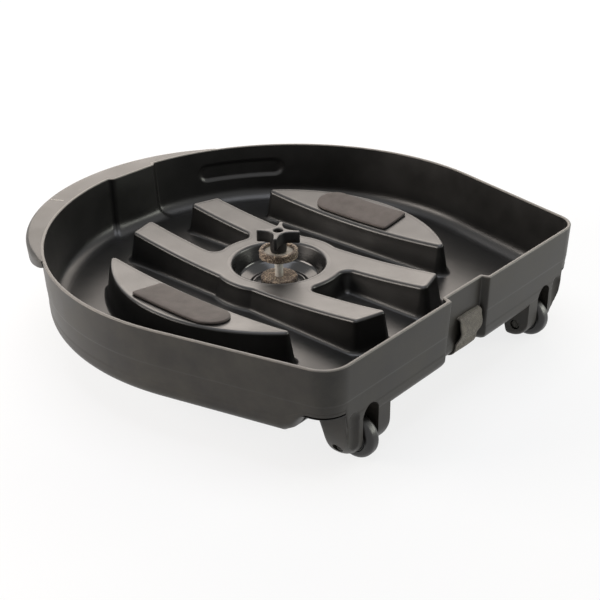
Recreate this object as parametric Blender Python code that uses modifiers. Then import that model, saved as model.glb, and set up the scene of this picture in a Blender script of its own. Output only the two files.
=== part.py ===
"""Open tray half of a wheeled case for upturned cymbals.

A moulded D-shaped tray stands on two wheels and two moulded feet. Its cradle, an H of two
bars round a dish, and its two crescent lands share one bowed top, which fits the bow of an
upturned cymbal. A felted post with a four-armed knob clamps the stack through its centre
holes. Units are metres, +Z is up, the floor is z = 0, and the flat wall faces -Y.

The model is drawn about the centre of the tray's round end and then moved as a whole, so
that the origin lies on the floor under the middle of the object's box.
"""

import math

import bmesh
import bpy
from mathutils import Matrix, Vector

# Gap left between two pieces that touch
SEAT = 0.0003
# Radial clearance of a bush on its axle
RUNNING = 0.0001

# Plan of the tray at its rim
RIM_RADIUS = 0.300
FLAT_DISTANCE = 0.2756
FLAT_HALF_WIDTH = 0.2367
CORNER_RADIUS = 0.034

# Section of the tray
TRAY_DEPTH = 0.086
WALL = 0.004
DRAFT = 0.003
BOTTOM_ROUND = 0.012
COVE_RADIUS = 0.018

# Upright grooves that hold the closing strap
GROOVE_HALF_WIDTH = 0.0375
GROOVE_DEPTH = 0.009
GROOVE_FLANK = 0.003

# Grip moulded round the round end, as angles from +Y towards -X
GRIP_REACH = 0.032
GRIP_HEIGHT = 0.030
GRIP_MIDDLE = math.radians(16.5)
GRIP_HALF_ANGLE = math.radians(44.5)
GRIP_EDGE = 0.005

# Cradle, measured from the post
POST_OFFSET = 0.013
BOW_RADIUS = 1.350
BOW_HEIGHT = 0.029
CRADLE_RADIUS = 0.207
BAR_INNER = 0.036
BAR_OUTER = 0.080
RING_RADIUS = 0.085
DISH_RADIUS = 0.0595
DISH_FLOOR_RADIUS = 0.047
DISH_SINK = 0.003
RING_DROP = 0.0005
LAND_CHORD = 0.143
LAND_RADIUS = 0.213
LAND_TAPER = 0.007
LAND_EDGE = 0.0045
BLUNT_TIP = 0.014
SHARP_TIP = 0.0055
BAR_CORNER = 0.007

# Foam pads on the crescent lands
PAD_INNER = 0.151
PAD_WIDTH = 0.048
PAD_SQUARE_END = 0.054
PAD_ROUND_END = 0.078
PAD_THICKNESS = 0.003
PAD_LIFT = 0.0005

# Wheels and their housings
WHEEL_RADIUS = 0.025
WHEEL_WIDTH = 0.018
TREAD_WIDTH = 0.0044
TREAD_ROUND = 0.0066
WHEEL_SPREAD = 0.172
WHEEL_SETBACK = 0.0206
AXLE_DROP = 0.025
AXLE_RADIUS = 0.003
AXLE_HEAD_RADIUS = 0.0052
AXLE_HEAD_HEIGHT = 0.0034
NUT_ACROSS = 0.010
NUT_HEIGHT = 0.005
BUSH_RADIUS = 0.005
HUB_RADIUS = 0.0155
HUB_WIDTH = 0.0204
SPACER_RADIUS = 0.008
SLOT_CLEARANCE = 0.004
INNER_CHEEK = 0.020
OUTER_CHEEK = 0.028
CHEEK_CLEARANCE = 0.008
CHEEK_EDGE = 0.006
CHEEK_ROUND = 0.022
WELL_ROOF = 0.006
RELIEF_DEPTH = 0.023
FLUTE_RADIUS = 0.012

# Feet moulded under the round end
FOOT_X = 0.125
FOOT_Y = 0.190
FOOT_RADIUS = 0.024
FOOT_TAPER = 0.004
FOOT_WALL = 0.005

# Post, felts and knob
ROD_RADIUS = 0.004
ROD_TOP = 0.116
BOLT_ACROSS = 0.013
BOLT_HEAD_HEIGHT = 0.0053
PLATE_RADIUS = 0.015
PLATE_THICKNESS = 0.0016
FLOOR_WASHER = 0.0016
JAM_ACROSS = 0.013
JAM_HEIGHT = 0.004
SLEEVE_RADIUS = 0.0054
SLEEVE_TOP = 0.090
FELT_LOWER_RADIUS = 0.024
FELT_LOWER_THICKNESS = 0.010
FELT_POCKET = 0.0088
FELT_UPPER_RADIUS = 0.025
FELT_UPPER_THICKNESS = 0.0105
UPPER_FELT_Z = 0.088
FELT_RECESS_RADIUS = 0.0192
FELT_RECESS = 0.0052
CUP_WASHER_THICKNESS = 0.0016
HUB_OUTER = 0.0108
KNOB_HEIGHT = 0.0285
KNOB_ARM_HEIGHT = 0.0157
KNOB_REACH = 0.0278
KNOB_ARM_WIDTH = 0.0056
KNOB_WEB = 60.0e-6
KNOB_TURN = math.radians(34.0)
KNOB_BORE = 0.0065
INSERT_RADIUS = 0.0070
INSERT_LENGTH = 0.008
INSERT_Z = 0.108

# Strap at the flat wall
STRAP_WIDTH = 0.042
STRAP_THICKNESS = 0.0022
STRAP_X = 0.011
STRAP_SLOT_DROP = 0.037
STRAP_BOW = 0.0040
STRAP_TAIL = 0.040
STRAP_BAR_RADIUS = 0.0025
ANCHOR_LENGTH = 0.016
ANCHOR_THICKNESS = 0.0016
ANCHOR_RIVET_SPREAD = 0.0145
RIVET_RADIUS = 0.0024
RIVET_HEAD_RADIUS = 0.0050
RIVET_HEAD_HEIGHT = 0.0016

# Heights that follow from the sizes above
AXLE_Z = WHEEL_RADIUS
BASE_Z = AXLE_Z + AXLE_DROP
FLOOR_Z = BASE_Z + WALL
RIM_Z = BASE_Z + TRAY_DEPTH
DISH_Z = FLOOR_Z - DISH_SINK
DISH_UNDER = DISH_Z - WALL
BOW_Z = BASE_Z + BOW_HEIGHT
AXLE_Y = -FLAT_DISTANCE + WHEEL_SETBACK
SLOT_HALF = WHEEL_WIDTH / 2 + SLOT_CLEARANCE
SLOT_BACK = AXLE_Y + WHEEL_RADIUS + SLOT_CLEARANCE
SLOT_SPRING = FLOOR_Z + 0.005
WELL_TOP = SLOT_SPRING + SLOT_HALF + WELL_ROOF
RELIEF_TOP = BASE_Z + RELIEF_DEPTH
HOUSING_TOP = RELIEF_TOP + WALL / 2
HEAD_SEAT = SLOT_HALF + OUTER_CHEEK / 2
NUT_SEAT = NUT_HEIGHT + WALL / 2 - SLOT_HALF - INNER_CHEEK
JAM_Z = DISH_Z + FLOOR_WASHER + 2 * SEAT
SLEEVE_Z = JAM_Z + JAM_HEIGHT + SEAT
KNOB_Z = UPPER_FELT_Z + FELT_UPPER_THICKNESS - FELT_RECESS + CUP_WASHER_THICKNESS + 2 * SEAT
STRAP_SLOT_Z = RIM_Z - STRAP_SLOT_DROP
GROOVE_OUTSIDE = -FLAT_DISTANCE + GROOVE_DEPTH + DRAFT * STRAP_SLOT_DROP / TRAY_DEPTH
GROOVE_INSIDE = GROOVE_OUTSIDE + WALL
STRAP_BAR_Y = GROOVE_INSIDE + STRAP_BAR_RADIUS + WALL / 2
STRAP_BAR_Z = STRAP_SLOT_Z - STRAP_BAR_RADIUS - SEAT - STRAP_THICKNESS / 2
SIDE_LEAN = math.acos(RIM_RADIUS / math.hypot(FLAT_HALF_WIDTH, FLAT_DISTANCE)) - math.atan2(
    FLAT_DISTANCE, FLAT_HALF_WIDTH
)

# Facets of round work
ARC_STEPS = 14
SPINE_STEPS = 8
TURN_STEPS = 28
BORE_STEPS = 16
EDGE_STEPS = 2

SIDES = ((-1, "left"), (1, "right"))
PARTS = "wheeled_cymbal_case"
CUTTERS = "cutters"


def clear_scene():
    for item in list(bpy.data.objects):
        bpy.data.objects.remove(item, do_unlink=True)


def make_collection(name):
    collection = bpy.data.collections.new(name)
    bpy.context.scene.collection.children.link(collection)
    return collection


def make_material(name, colour, roughness, metallic=0.0):
    material = bpy.data.materials.new(name)
    material.use_nodes = True
    shader = material.node_tree.nodes["Principled BSDF"]
    shader.inputs["Base Color"].default_value = (*colour, 1.0)
    shader.inputs["Roughness"].default_value = roughness
    shader.inputs["Metallic"].default_value = metallic
    return material


def place(name, mesh, collection, material=None):
    """An object for `mesh`, carried by the empty that moves the whole case."""
    item = bpy.data.objects.new(name, mesh)
    bpy.data.collections[collection].objects.link(item)
    item.parent = bpy.data.objects["case_frame"]
    if material:
        mesh.materials.append(material)
    if collection == CUTTERS:
        item.hide_render = True
        item.display_type = "WIRE"
    return item


def mesh_from(name, points, faces):
    """A closed mesh with its doubles merged and its faces turned outwards."""
    mesh = bpy.data.meshes.new(name)
    mesh.from_pydata([tuple(point) for point in points], [], faces)
    work = bmesh.new()
    work.from_mesh(mesh)
    bmesh.ops.remove_doubles(work, verts=work.verts, dist=1.0e-6)
    bmesh.ops.dissolve_degenerate(work, edges=work.edges, dist=1.0e-6)
    bmesh.ops.recalc_face_normals(work, faces=work.faces)
    work.to_mesh(mesh)
    work.free()
    return mesh


def shade(item, degrees=35.0):
    item.data.shade_smooth()
    item.data.set_sharp_from_angle(angle=math.radians(degrees))
    return item


def loft(name, rings, collection, material=None):
    """Skin over rings of equal length, capped at both ends."""
    count = len(rings[0])
    points = [point for ring in rings for point in ring]
    faces = []
    for row in range(len(rings) - 1):
        low, high = row * count, (row + 1) * count
        for k in range(count):
            after = (k + 1) % count
            faces.append((low + k, low + after, high + after, high + k))
    faces.append(tuple(reversed(range(count))))
    faces.append(tuple(range(len(points) - count, len(points))))
    return place(name, mesh_from(name, points, faces), collection, material)


def turned(name, profile, collection, material=None, steps=TURN_STEPS):
    """A solid of revolution about its own Z. The profile, in radius and height, runs down the outside."""
    mesh = bpy.data.meshes.new(name)
    last = len(profile) - 1
    edges = [(k, k + 1) for k in range(last)]
    if profile[0][0] > 0 and profile[last][0] > 0:
        edges.append((last, 0))
    mesh.from_pydata([(radius, 0.0, height) for radius, height in profile], edges, [])
    item = place(name, mesh, collection, material)
    screw = item.modifiers.new("turn", "SCREW")
    screw.axis = "Z"
    screw.steps = steps
    screw.render_steps = steps
    screw.use_merge_vertices = True
    screw.merge_threshold = 1.0e-5
    screw.use_smooth_shade = False
    return item


def box(name, size, middle, collection, material=None, edge=0.0, segments=EDGE_STEPS):
    """A cuboid with optional rounded edges."""
    work = bmesh.new()
    bmesh.ops.create_cube(work, size=1.0)
    bmesh.ops.scale(work, vec=Vector(size), verts=work.verts)
    mesh = bpy.data.meshes.new(name)
    work.to_mesh(mesh)
    work.free()
    item = place(name, mesh, collection, material)
    item.location = middle
    if edge:
        add_bevel(item, edge, segments)
    return item


def cylinder(name, radius, length, collection, material=None, sides=TURN_STEPS):
    """A plain cylinder about its own Z, from its origin upwards."""
    work = bmesh.new()
    bmesh.ops.create_cone(
        work, cap_ends=True, segments=sides, radius1=radius, radius2=radius, depth=length
    )
    bmesh.ops.translate(work, vec=(0, 0, length / 2), verts=work.verts)
    mesh = bpy.data.meshes.new(name)
    work.to_mesh(mesh)
    work.free()
    return place(name, mesh, collection, material)


def add_bevel(item, width, segments=EDGE_STEPS):
    bevel = item.modifiers.new("edges", "BEVEL")
    bevel.width = width
    bevel.segments = segments
    bevel.limit_method = "ANGLE"
    bevel.angle_limit = math.radians(35.0)
    bevel.use_clamp_overlap = True


def combine(item, tool, operation):
    step = item.modifiers.new(tool.name, "BOOLEAN")
    step.operation = operation
    step.solver = "EXACT"
    step.object = tool


def cut(item, *tools):
    for tool in tools:
        combine(item, tool, "DIFFERENCE")


def join(item, *tools):
    for tool in tools:
        combine(item, tool, "UNION")


def combine_group(item, name, tools, operation):
    """One Boolean step of `item` with a whole group of tools at once."""
    group = bpy.data.collections.new(name)
    bpy.data.collections[CUTTERS].children.link(group)
    for tool in tools:
        group.objects.link(tool)
    step = item.modifiers.new(name, "BOOLEAN")
    step.operation = operation
    step.solver = "EXACT"
    step.operand_type = "COLLECTION"
    step.collection = group


def bow_height(x, y):
    """Top of the cradle: a shallow sphere, lowest at the post."""
    reach = x * x + (y - POST_OFFSET) ** 2
    return BOW_Z + BOW_RADIUS - math.sqrt(BOW_RADIUS * BOW_RADIUS - reach)


def arc(middle, radius, start, end, steps):
    """Points on an arc, both ends included."""
    return [
        (
            middle[0] + radius * math.cos(start + (end - start) * k / steps),
            middle[1] + radius * math.sin(start + (end - start) * k / steps),
        )
        for k in range(steps + 1)
    ]


def groove_stations(inset):
    """Half widths of a groove at its mouth and at its floor, on a line drawn in by `inset`."""
    flank = math.atan2(GROOVE_FLANK, GROOVE_DEPTH)
    spread = inset * (1.0 - math.sin(flank)) / math.cos(flank)
    return GROOVE_HALF_WIDTH + spread, GROOVE_HALF_WIDTH - GROOVE_FLANK + spread


def tray_outline(inset):
    """Plan of the tray, drawn in by `inset` from the outer edge of the rim, anticlockwise."""
    radius = RIM_RADIUS - inset
    corner = max(CORNER_RADIUS - inset, 0.002)
    sink = CORNER_RADIUS if inset < CORNER_RADIUS else inset + corner
    middle_y = -FLAT_DISTANCE + sink
    middle_x = (RIM_RADIUS - sink - middle_y * math.sin(SIDE_LEAN)) / math.cos(SIDE_LEAN)
    mouth, floor = groove_stations(inset)
    opening = math.asin(mouth / radius)
    top = math.pi / 2
    points = arc((middle_x, middle_y), corner, -top, SIDE_LEAN, 5)
    points += arc((0.0, 0.0), radius, SIDE_LEAN, top - opening, ARC_STEPS)
    points += [(floor, radius - GROOVE_DEPTH), (-floor, radius - GROOVE_DEPTH)]
    points += arc((0.0, 0.0), radius, top + opening, math.pi - SIDE_LEAN, ARC_STEPS)
    points += arc((-middle_x, middle_y), corner, math.pi - SIDE_LEAN, 3 * top, 5)
    flat = -FLAT_DISTANCE + inset
    points += [(-mouth, flat), (-floor, flat + GROOVE_DEPTH)]
    points += [(floor, flat + GROOVE_DEPTH), (mouth, flat)]
    return points


def draft_at(height):
    """How far the drafted wall has drawn in at this height."""
    return DRAFT * (RIM_Z - height) / TRAY_DEPTH


def ring_at(inset, height):
    return [(x, y, height) for x, y in tray_outline(inset)]


def quarter(steps):
    return [math.pi / 2 * k / steps for k in range(steps + 1)]


def tray_blank():
    """The tray's outside as a solid: drafted wall, rounded bottom edge and flat base."""
    rings = []
    for turn in quarter(EDGE_STEPS):
        height = BASE_Z + BOTTOM_ROUND * (1 - math.cos(turn))
        rings.append(ring_at(draft_at(height) + BOTTOM_ROUND * (1 - math.sin(turn)), height))
    rings.append(ring_at(0.0, RIM_Z))
    return loft("base_shell", rings, PARTS)


def tray_cavity():
    """The tray's inside, from the floor through its cove to above the rim."""
    rings = []
    for turn in quarter(EDGE_STEPS + 1):
        height = FLOOR_Z + COVE_RADIUS * (1 - math.cos(turn))
        inset = WALL + draft_at(height) + COVE_RADIUS * (1 - math.sin(turn))
        rings.append(ring_at(inset, height))
    rings.append(ring_at(WALL, RIM_Z))
    rings.append(ring_at(WALL, RIM_Z + BOTTOM_ROUND))
    return loft("tray_cavity", rings, CUTTERS)


def inset_polygon(corners, inset):
    """Corners of a convex anticlockwise polygon drawn in by `inset`."""
    moved = []
    count = len(corners)
    for k in range(count):
        here = Vector(corners[k])
        before = (here - Vector(corners[k - 1])).normalized()
        after = (Vector(corners[(k + 1) % count]) - here).normalized()
        inward = Vector((-before.y - after.y, before.x + after.x))
        scale = inset / (1 + before.dot(after))
        moved.append(here + inward * scale)
    return moved


def even(start, end, pieces):
    """Values between two ends, the ends left out."""
    return [start + (end - start) * k / pieces for k in range(1, pieces)]


def between(start, end, pieces):
    """Points between two points, the ends left out."""
    return list(zip(even(start[0], end[0], pieces), even(start[1], end[1], pieces)))


def bar_plan(side):
    """Plan of one cradle bar as a function of its inset, with its points' shares of the spine."""
    ends = [math.sqrt(CRADLE_RADIUS**2 - x * x) for x in (BAR_INNER, BAR_OUTER)]
    corners = [
        (BAR_INNER, -ends[0]),
        (BAR_OUTER, -ends[1]),
        (BAR_OUTER, ends[1]),
        (BAR_INNER, ends[0]),
    ]

    def plan(inset):
        corner = max(BAR_CORNER - inset, 0.001)
        moved = inset_polygon(corners, inset + corner)
        arcs = []
        for k, middle in enumerate(moved):
            turn = (k - 2) * math.pi / 2
            arcs.append(arc(middle, corner, turn, turn + math.pi / 2, 3))
        points = arcs[0] + arcs[1] + between(arcs[1][-1], arcs[2][0], SPINE_STEPS)
        points += arcs[2] + arcs[3] + between(arcs[3][-1], arcs[0][0], SPINE_STEPS)
        return [(side * x, y + POST_OFFSET) for x, y in points]

    shares = [-1.0] * 8 + even(-1.0, 1.0, SPINE_STEPS) + [1.0] * 8 + even(1.0, -1.0, SPINE_STEPS)
    limit = ends[1] - (BAR_OUTER - BAR_INNER) / 2
    middle = side * (BAR_INNER + BAR_OUTER) / 2
    return plan, [(middle, POST_OFFSET + share * limit) for share in shares]


def land_plan(side, tip_front, tip_back):
    """Plan of one crescent land, a chord and an arc about the post with a fillet at each tip."""

    def tip(inset, radius):
        """Centre and size of a tip fillet, and the angle at which it meets the arc."""
        size = max(radius - inset, 0.001)
        x = LAND_CHORD + inset + size
        y = math.sqrt((LAND_RADIUS - inset - size) ** 2 - x * x)
        return x, y, size, math.atan2(y, x)

    def plan(inset):
        back_x, back_y, back, back_turn = tip(inset, tip_back)
        front_x, front_y, front, front_turn = tip(inset, tip_front)
        points = arc((0.0, 0.0), LAND_RADIUS - inset, -front_turn, back_turn, SPINE_STEPS)
        points += arc((back_x, back_y), back, back_turn, math.pi, 5)[1:]
        lower = arc((front_x, -front_y), front, math.pi, 2 * math.pi - front_turn, 5)
        points += between(points[-1], lower[0], SPINE_STEPS) + lower[:-1]
        return [(side * x, y + POST_OFFSET) for x, y in points]

    shares = [-1.0] + even(-1.0, 1.0, SPINE_STEPS) + [1.0] * 6
    shares += even(1.0, -1.0, SPINE_STEPS) + [-1.0] * 5
    reach = LAND_RADIUS - LAND_EDGE
    limit = math.sqrt(reach**2 - LAND_CHORD**2) - 2 * BLUNT_TIP
    line = []
    for share in shares:
        bulge = math.sqrt(reach**2 - (share * limit) ** 2)
        line.append((side * (LAND_CHORD + LAND_EDGE + bulge) / 2, POST_OFFSET + share * limit))
    return plan, line


def raised(name, plan, spine, foot, inset=0.0, drop=0.0, steps=EDGE_STEPS):
    """Drafted island whose rounded top follows the bow. `inset` and `drop` draw it in for its hollow."""
    base = plan(inset - LAND_TAPER * (BOW_Z - foot) / (BOW_Z - BASE_Z))
    rings = [[(x, y, foot) for x, y in base]]
    edge = max(LAND_EDGE - inset, 0.001)
    for turn in reversed(quarter(steps)):
        fall = drop + edge * (1 - math.cos(turn))
        ring = plan(inset + edge * (1 - math.sin(turn)))
        rings.append([(x, y, bow_height(x, y) - fall) for x, y in ring])
    rings.append([(x, y, bow_height(x, y) - drop) for x, y in spine])
    points = [point for ring in rings for point in ring]
    count = len(spine)
    faces = [tuple(reversed(range(count)))]
    for low in range(0, len(points) - count, count):
        for k in range(count):
            after = (k + 1) % count
            faces.append((low + k, low + after, low + count + after, low + count + k))
    return place(name, mesh_from(name, points, faces), CUTTERS)


def ring_profile(outer, foot, drop, edge):
    """Turned outside of the ring: bowed top from the axis, rounded edge, drafted wall to its foot."""
    top = bow_height(outer, POST_OFFSET) - drop
    profile = [(0.0, BOW_Z - drop), (outer / 2, bow_height(outer / 2, POST_OFFSET) - drop)]
    for turn in quarter(EDGE_STEPS):
        profile.append((outer - edge * (1 - math.sin(turn)), top - edge * (1 - math.cos(turn))))
    profile.append((outer + LAND_TAPER * (top - foot) / (top - BASE_Z), foot))
    profile.append((0.0, foot))
    return profile


def cradle_pieces():
    """The bars, crescent lands and ring as solids, and their hollows, which open downwards."""
    solids = []
    hollows = []
    foot = BASE_Z + WALL / 2
    under = DISH_UNDER - WALL
    for side, hand in ((-1, "left"), (1, "right")):
        tips = (SHARP_TIP, BLUNT_TIP) if side < 0 else (BLUNT_TIP, SHARP_TIP)
        for kind, (plan, spine) in (("bar_", bar_plan(side)), ("land_", land_plan(side, *tips))):
            solids.append(raised(kind + hand, plan, spine, foot))
            hollows.append(raised(kind + "hollow_" + hand, plan, spine, under, WALL, WALL, 1))
    ring = turned("ring", ring_profile(RING_RADIUS, foot, RING_DROP, LAND_EDGE), CUTTERS)
    hollow = turned("ring_hollow", ring_profile(RING_RADIUS - WALL, under, WALL + RING_DROP, 0.001), CUTTERS)
    for item, group in ((ring, solids), (hollow, hollows)):
        item.location.y = POST_OFFSET
        group.append(item)
    return solids, hollows


def dish_profile(grow, high, low):
    """Turned dish, enlarged by `grow`: straight lip, sloping wall and coved floor."""
    mouth = DISH_RADIUS + grow
    floor = DISH_FLOOR_RADIUS + grow
    cove = DISH_FLOOR_RADIUS / 6
    lip = bow_height(DISH_RADIUS, POST_OFFSET) - LAND_EDGE
    return [
        (0.0, high),
        (mouth, high),
        (mouth, lip),
        (floor + cove * 0.35, low + cove),
        (floor - cove * 0.25, low + cove * 0.25),
        (floor - cove, low),
        (0.0, low),
    ]


def dish_tools():
    """Cup that hangs inside the ring's hollow, and the dish in its top with its rounded mouth."""
    top = bow_height(DISH_RADIUS, POST_OFFSET) - RING_DROP
    cup = turned("dish_cup", dish_profile(WALL, top - WALL / 2, DISH_UNDER), CUTTERS)
    dish = turned("dish", dish_profile(0.0, RIM_Z, DISH_Z), CUTTERS)
    mouth = turned(
        "dish_mouth",
        [
            (0.0, RIM_Z),
            (DISH_RADIUS + LAND_EDGE, RIM_Z),
            (DISH_RADIUS + LAND_EDGE, top + LAND_EDGE / 9),
            (DISH_RADIUS + LAND_EDGE * 0.3, top - LAND_EDGE * 0.3),
            (DISH_RADIUS - LAND_EDGE / 9, top - LAND_EDGE),
            (0.0, top - LAND_EDGE),
        ],
        CUTTERS,
    )
    for item in (cup, dish, mouth):
        item.location.y = POST_OFFSET
    return cup, dish, mouth


def corner_well(side, hand):
    """Block in the tray's corner that roofs the wheel slot."""
    inner = WHEEL_SPREAD - SLOT_HALF - WELL_ROOF
    outer = FLAT_HALF_WIDTH + CORNER_RADIUS
    back = SLOT_BACK + WELL_ROOF
    depth = WHEEL_RADIUS + CORNER_RADIUS
    return box(
        "well_" + hand,
        (outer - inner, depth, WELL_TOP - BASE_Z),
        (side * (inner + outer) / 2, back - depth / 2, (WELL_TOP + BASE_Z) / 2),
        CUTTERS,
        edge=WELL_ROOF / 2,
        segments=1,
    )


def housing_profile():
    """Side view of a wheel housing, in y and z: flush front, round bottom and sloping back."""
    front = -FLAT_DISTANCE + DRAFT
    back = AXLE_Y + WHEEL_RADIUS
    middle = (front + WHEEL_RADIUS, CHEEK_CLEARANCE + WHEEL_RADIUS)
    points = [(front, HOUSING_TOP)]
    points += arc(middle, WHEEL_RADIUS, math.pi, math.pi * 1.5, 7)
    points += [(middle[0] + WALL, CHEEK_CLEARANCE), (back - WALL, BASE_Z - 2 * BOTTOM_ROUND / 3)]
    points += [(back + 2 * COVE_RADIUS / 3, BASE_Z + WALL / 2), (back, HOUSING_TOP)]
    return points


def wheel_housing(side, hand):
    """Fork that hangs from the tray's corner, a solid block with rounded lower side edges."""
    inner = WHEEL_SPREAD - SLOT_HALF - INNER_CHEEK
    outer = WHEEL_SPREAD + SLOT_HALF + OUTER_CHEEK
    stations = []
    for turn in quarter(EDGE_STEPS):
        stations.append((inner + CHEEK_EDGE * (1 - math.cos(turn)), CHEEK_EDGE * (1 - math.sin(turn))))
    for turn in reversed(quarter(EDGE_STEPS + 2)):
        stations.append((outer - CHEEK_ROUND * (1 - math.cos(turn)), CHEEK_ROUND * (1 - math.sin(turn))))
    stations.append((outer + WALL / 4, CHEEK_ROUND))
    rings = []
    for x, lift in stations:
        scale = (HOUSING_TOP - CHEEK_CLEARANCE - lift) / (HOUSING_TOP - CHEEK_CLEARANCE)
        rings.append(
            [
                (side * x, y, z if z > BASE_Z else HOUSING_TOP - (HOUSING_TOP - z) * scale)
                for y, z in housing_profile()
            ]
        )
    return loft("housing_" + hand, rings, CUTTERS)


def along_x(middle, side):
    """Turns a piece drawn about Z onto a wheel's axle, with its +Z pointing outwards."""
    turn = Matrix.Rotation(side * math.pi / 2, 4, "Y")
    return Matrix.Translation((middle, AXLE_Y, AXLE_Z)) @ turn


def wheel_cutters(side, hand):
    """Corner relief, wheel slot and flute of one housing."""
    size = CORNER_RADIUS * 2.4
    relief = box(
        "relief_" + hand,
        (size, size, RELIEF_TOP),
        (side * (WHEEL_SPREAD + SLOT_HALF + OUTER_CHEEK + size / 2), SLOT_BACK - size / 2, RELIEF_TOP / 2),
        CUTTERS,
        edge=CHEEK_EDGE / 2,
        segments=1,
    )
    outline = [(-SLOT_HALF, -WALL), (SLOT_HALF, -WALL)]
    outline += arc((0.0, SLOT_SPRING), SLOT_HALF, 0.0, math.pi, 8)
    ends = (-FLAT_DISTANCE - WHEEL_RADIUS, SLOT_BACK)
    middle = side * WHEEL_SPREAD
    slot = loft("wheel_slot_" + hand, [[(middle + x, y, z) for x, z in outline] for y in ends], CUTTERS)
    flute = turned(
        "flute_" + hand,
        [
            (0.0, RELIEF_TOP),
            (FLUTE_RADIUS * 0.7, RELIEF_TOP - FLUTE_RADIUS * 0.3),
            (FLUTE_RADIUS, RELIEF_TOP - FLUTE_RADIUS),
            (FLUTE_RADIUS, -WALL),
            (0.0, -WALL),
        ],
        CUTTERS,
        steps=BORE_STEPS,
    )
    flute.location = (
        side * (WHEEL_SPREAD + SLOT_HALF + OUTER_CHEEK / 2 + WALL / 2),
        -FLAT_DISTANCE - FLUTE_RADIUS * 0.4,
        0.0,
    )
    return [relief, slot, flute]


def axle_bores(side, hand):
    """Bore for one axle with a pocket for its head and one for its nut."""
    end = SLOT_HALF + OUTER_CHEEK + WALL
    start = -SLOT_HALF - INNER_CHEEK - WALL
    bores = (
        ("axle_bore_", AXLE_RADIUS + SEAT, start, end),
        ("head_bore_", AXLE_HEAD_RADIUS + 2 * SEAT, HEAD_SEAT, end),
        ("nut_bore_", NUT_ACROSS / math.sqrt(3) + 2 * SEAT, start, NUT_SEAT),
    )
    tools = []
    for name, radius, low, high in bores:
        tool = cylinder(name + hand, radius, high - low, CUTTERS, sides=BORE_STEPS)
        tool.matrix_basis = along_x(side * WHEEL_SPREAD, side) @ Matrix.Translation((0, 0, low))
        tools.append(tool)
    return tools


def grip_bulge(turn):
    """Reach of the grip at a plan angle measured from +Y towards -X."""
    share = (turn - GRIP_MIDDLE) / GRIP_HALF_ANGLE
    return GRIP_REACH * max(1.0 - share * share, 0.0) ** 0.75


def grip_turns(span):
    steps = 18
    return [GRIP_MIDDLE + GRIP_HALF_ANGLE * span * (2 * k / steps - 1) for k in range(steps + 1)]


def grip_section(turn, root, reach, top, low, edge):
    """One radial section of the grip, from its root in the wall out to its lip."""
    section = [
        (root, low),
        (root, top),
        (reach - edge, top),
        (reach - edge * 0.29, top - edge * 0.29),
        (reach, top - edge),
        (reach - edge * 0.3, low),
    ]
    across, forward = -math.sin(turn), math.cos(turn)
    return [(across * radius, forward * radius, height) for radius, height in section]


def grip_tools():
    """Grip round the round end: a flange with the shelf that closes the groove, and a finger channel."""
    root = RIM_RADIUS - WALL / 2
    rings = []
    for turn in grip_turns(0.985):
        bulge = grip_bulge(turn)
        low = RIM_Z - GRIP_HEIGHT * min(1.0, 0.25 + bulge / GRIP_REACH)
        edge = min(GRIP_EDGE, bulge / 2)
        rings.append(grip_section(turn, root, RIM_RADIUS + bulge, RIM_Z, low, edge))
    grip = loft("grip", rings, CUTTERS)
    back = RIM_RADIUS - GROOVE_DEPTH - WALL / 2
    front = RIM_RADIUS - WALL / 8
    narrow, wide = GROOVE_HALF_WIDTH - WALL / 2, GROOVE_HALF_WIDTH + WALL
    plan = [(-narrow, back), (narrow, back), (wide, front), (-wide, front)]
    shelf = loft("groove_shelf", [[(x, y, z) for x, y in plan] for z in (RIM_Z - WALL, RIM_Z)], CUTTERS)
    rings = []
    for turn in grip_turns(0.86):
        bulge = grip_bulge(turn)
        reach = RIM_RADIUS + bulge - WALL
        edge = min(GRIP_EDGE - WALL / 2, bulge / 6)
        low = RIM_Z - GRIP_HEIGHT - WALL
        rings.append(grip_section(turn, RIM_RADIUS + WALL / 4, reach, RIM_Z - WALL, low, edge))
    return [grip, shelf], loft("grip_channel", rings, CUTTERS)


def foot_profile(radius, low, high):
    """Turned foot, wider where it joins the base."""
    spread = FOOT_TAPER * (high - low) / BASE_Z
    edge = FOOT_WALL / 3
    return [
        (0.0, high),
        (radius + spread, high),
        (radius, low + edge),
        (radius - edge, low),
        (0.0, low),
    ]


def foot_tools(side, hand):
    """Open cup under the round end, as tall as the wheels hang."""
    foot = turned("foot_" + hand, foot_profile(FOOT_RADIUS, 0.0, BASE_Z + WALL / 2), CUTTERS, steps=20)
    inside = foot_profile(FOOT_RADIUS - FOOT_WALL, -WALL, BASE_Z - WALL / 2)
    cup = turned("foot_cup_" + hand, inside, CUTTERS, steps=20)
    for item in (foot, cup):
        item.location = (side * FOOT_X, FOOT_Y, 0.0)
    return foot, cup


def strap_path():
    """Centre line of the strap in y and z: loop on its bar, slot, drop down the groove, run under the base."""
    half = STRAP_THICKNESS / 2
    loop = STRAP_BAR_RADIUS + SEAT + half
    points = [(GROOVE_INSIDE + WALL / 3, STRAP_SLOT_Z - 2 * loop)]
    points += arc((STRAP_BAR_Y, STRAP_SLOT_Z - loop), loop, -math.pi / 2, math.pi / 2, 8)
    bend = 2 * STRAP_THICKNESS
    start = GROOVE_OUTSIDE - WALL / 4
    points += arc((start, STRAP_SLOT_Z - bend), bend, math.pi / 2, math.pi, 5)
    low = BASE_Z + BOTTOM_ROUND
    foot = -FLAT_DISTANCE + GROOVE_DEPTH + draft_at(low) + BOTTOM_ROUND
    hug = BOTTOM_ROUND + SEAT + half
    y0, z0 = points[-1]
    steps = 8
    for k in range(1, steps):
        share = k / steps
        ease = share * share * (3 - 2 * share)
        y = y0 + (foot - hug - y0) * ease - STRAP_BOW * math.sin(math.pi * share) ** 2
        points.append((y, z0 + (low - z0) * share))
    points += arc((foot, low), hug, math.pi, 1.5 * math.pi, 6)
    points.append((foot + STRAP_TAIL, BASE_Z - SEAT - half))
    return points


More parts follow.
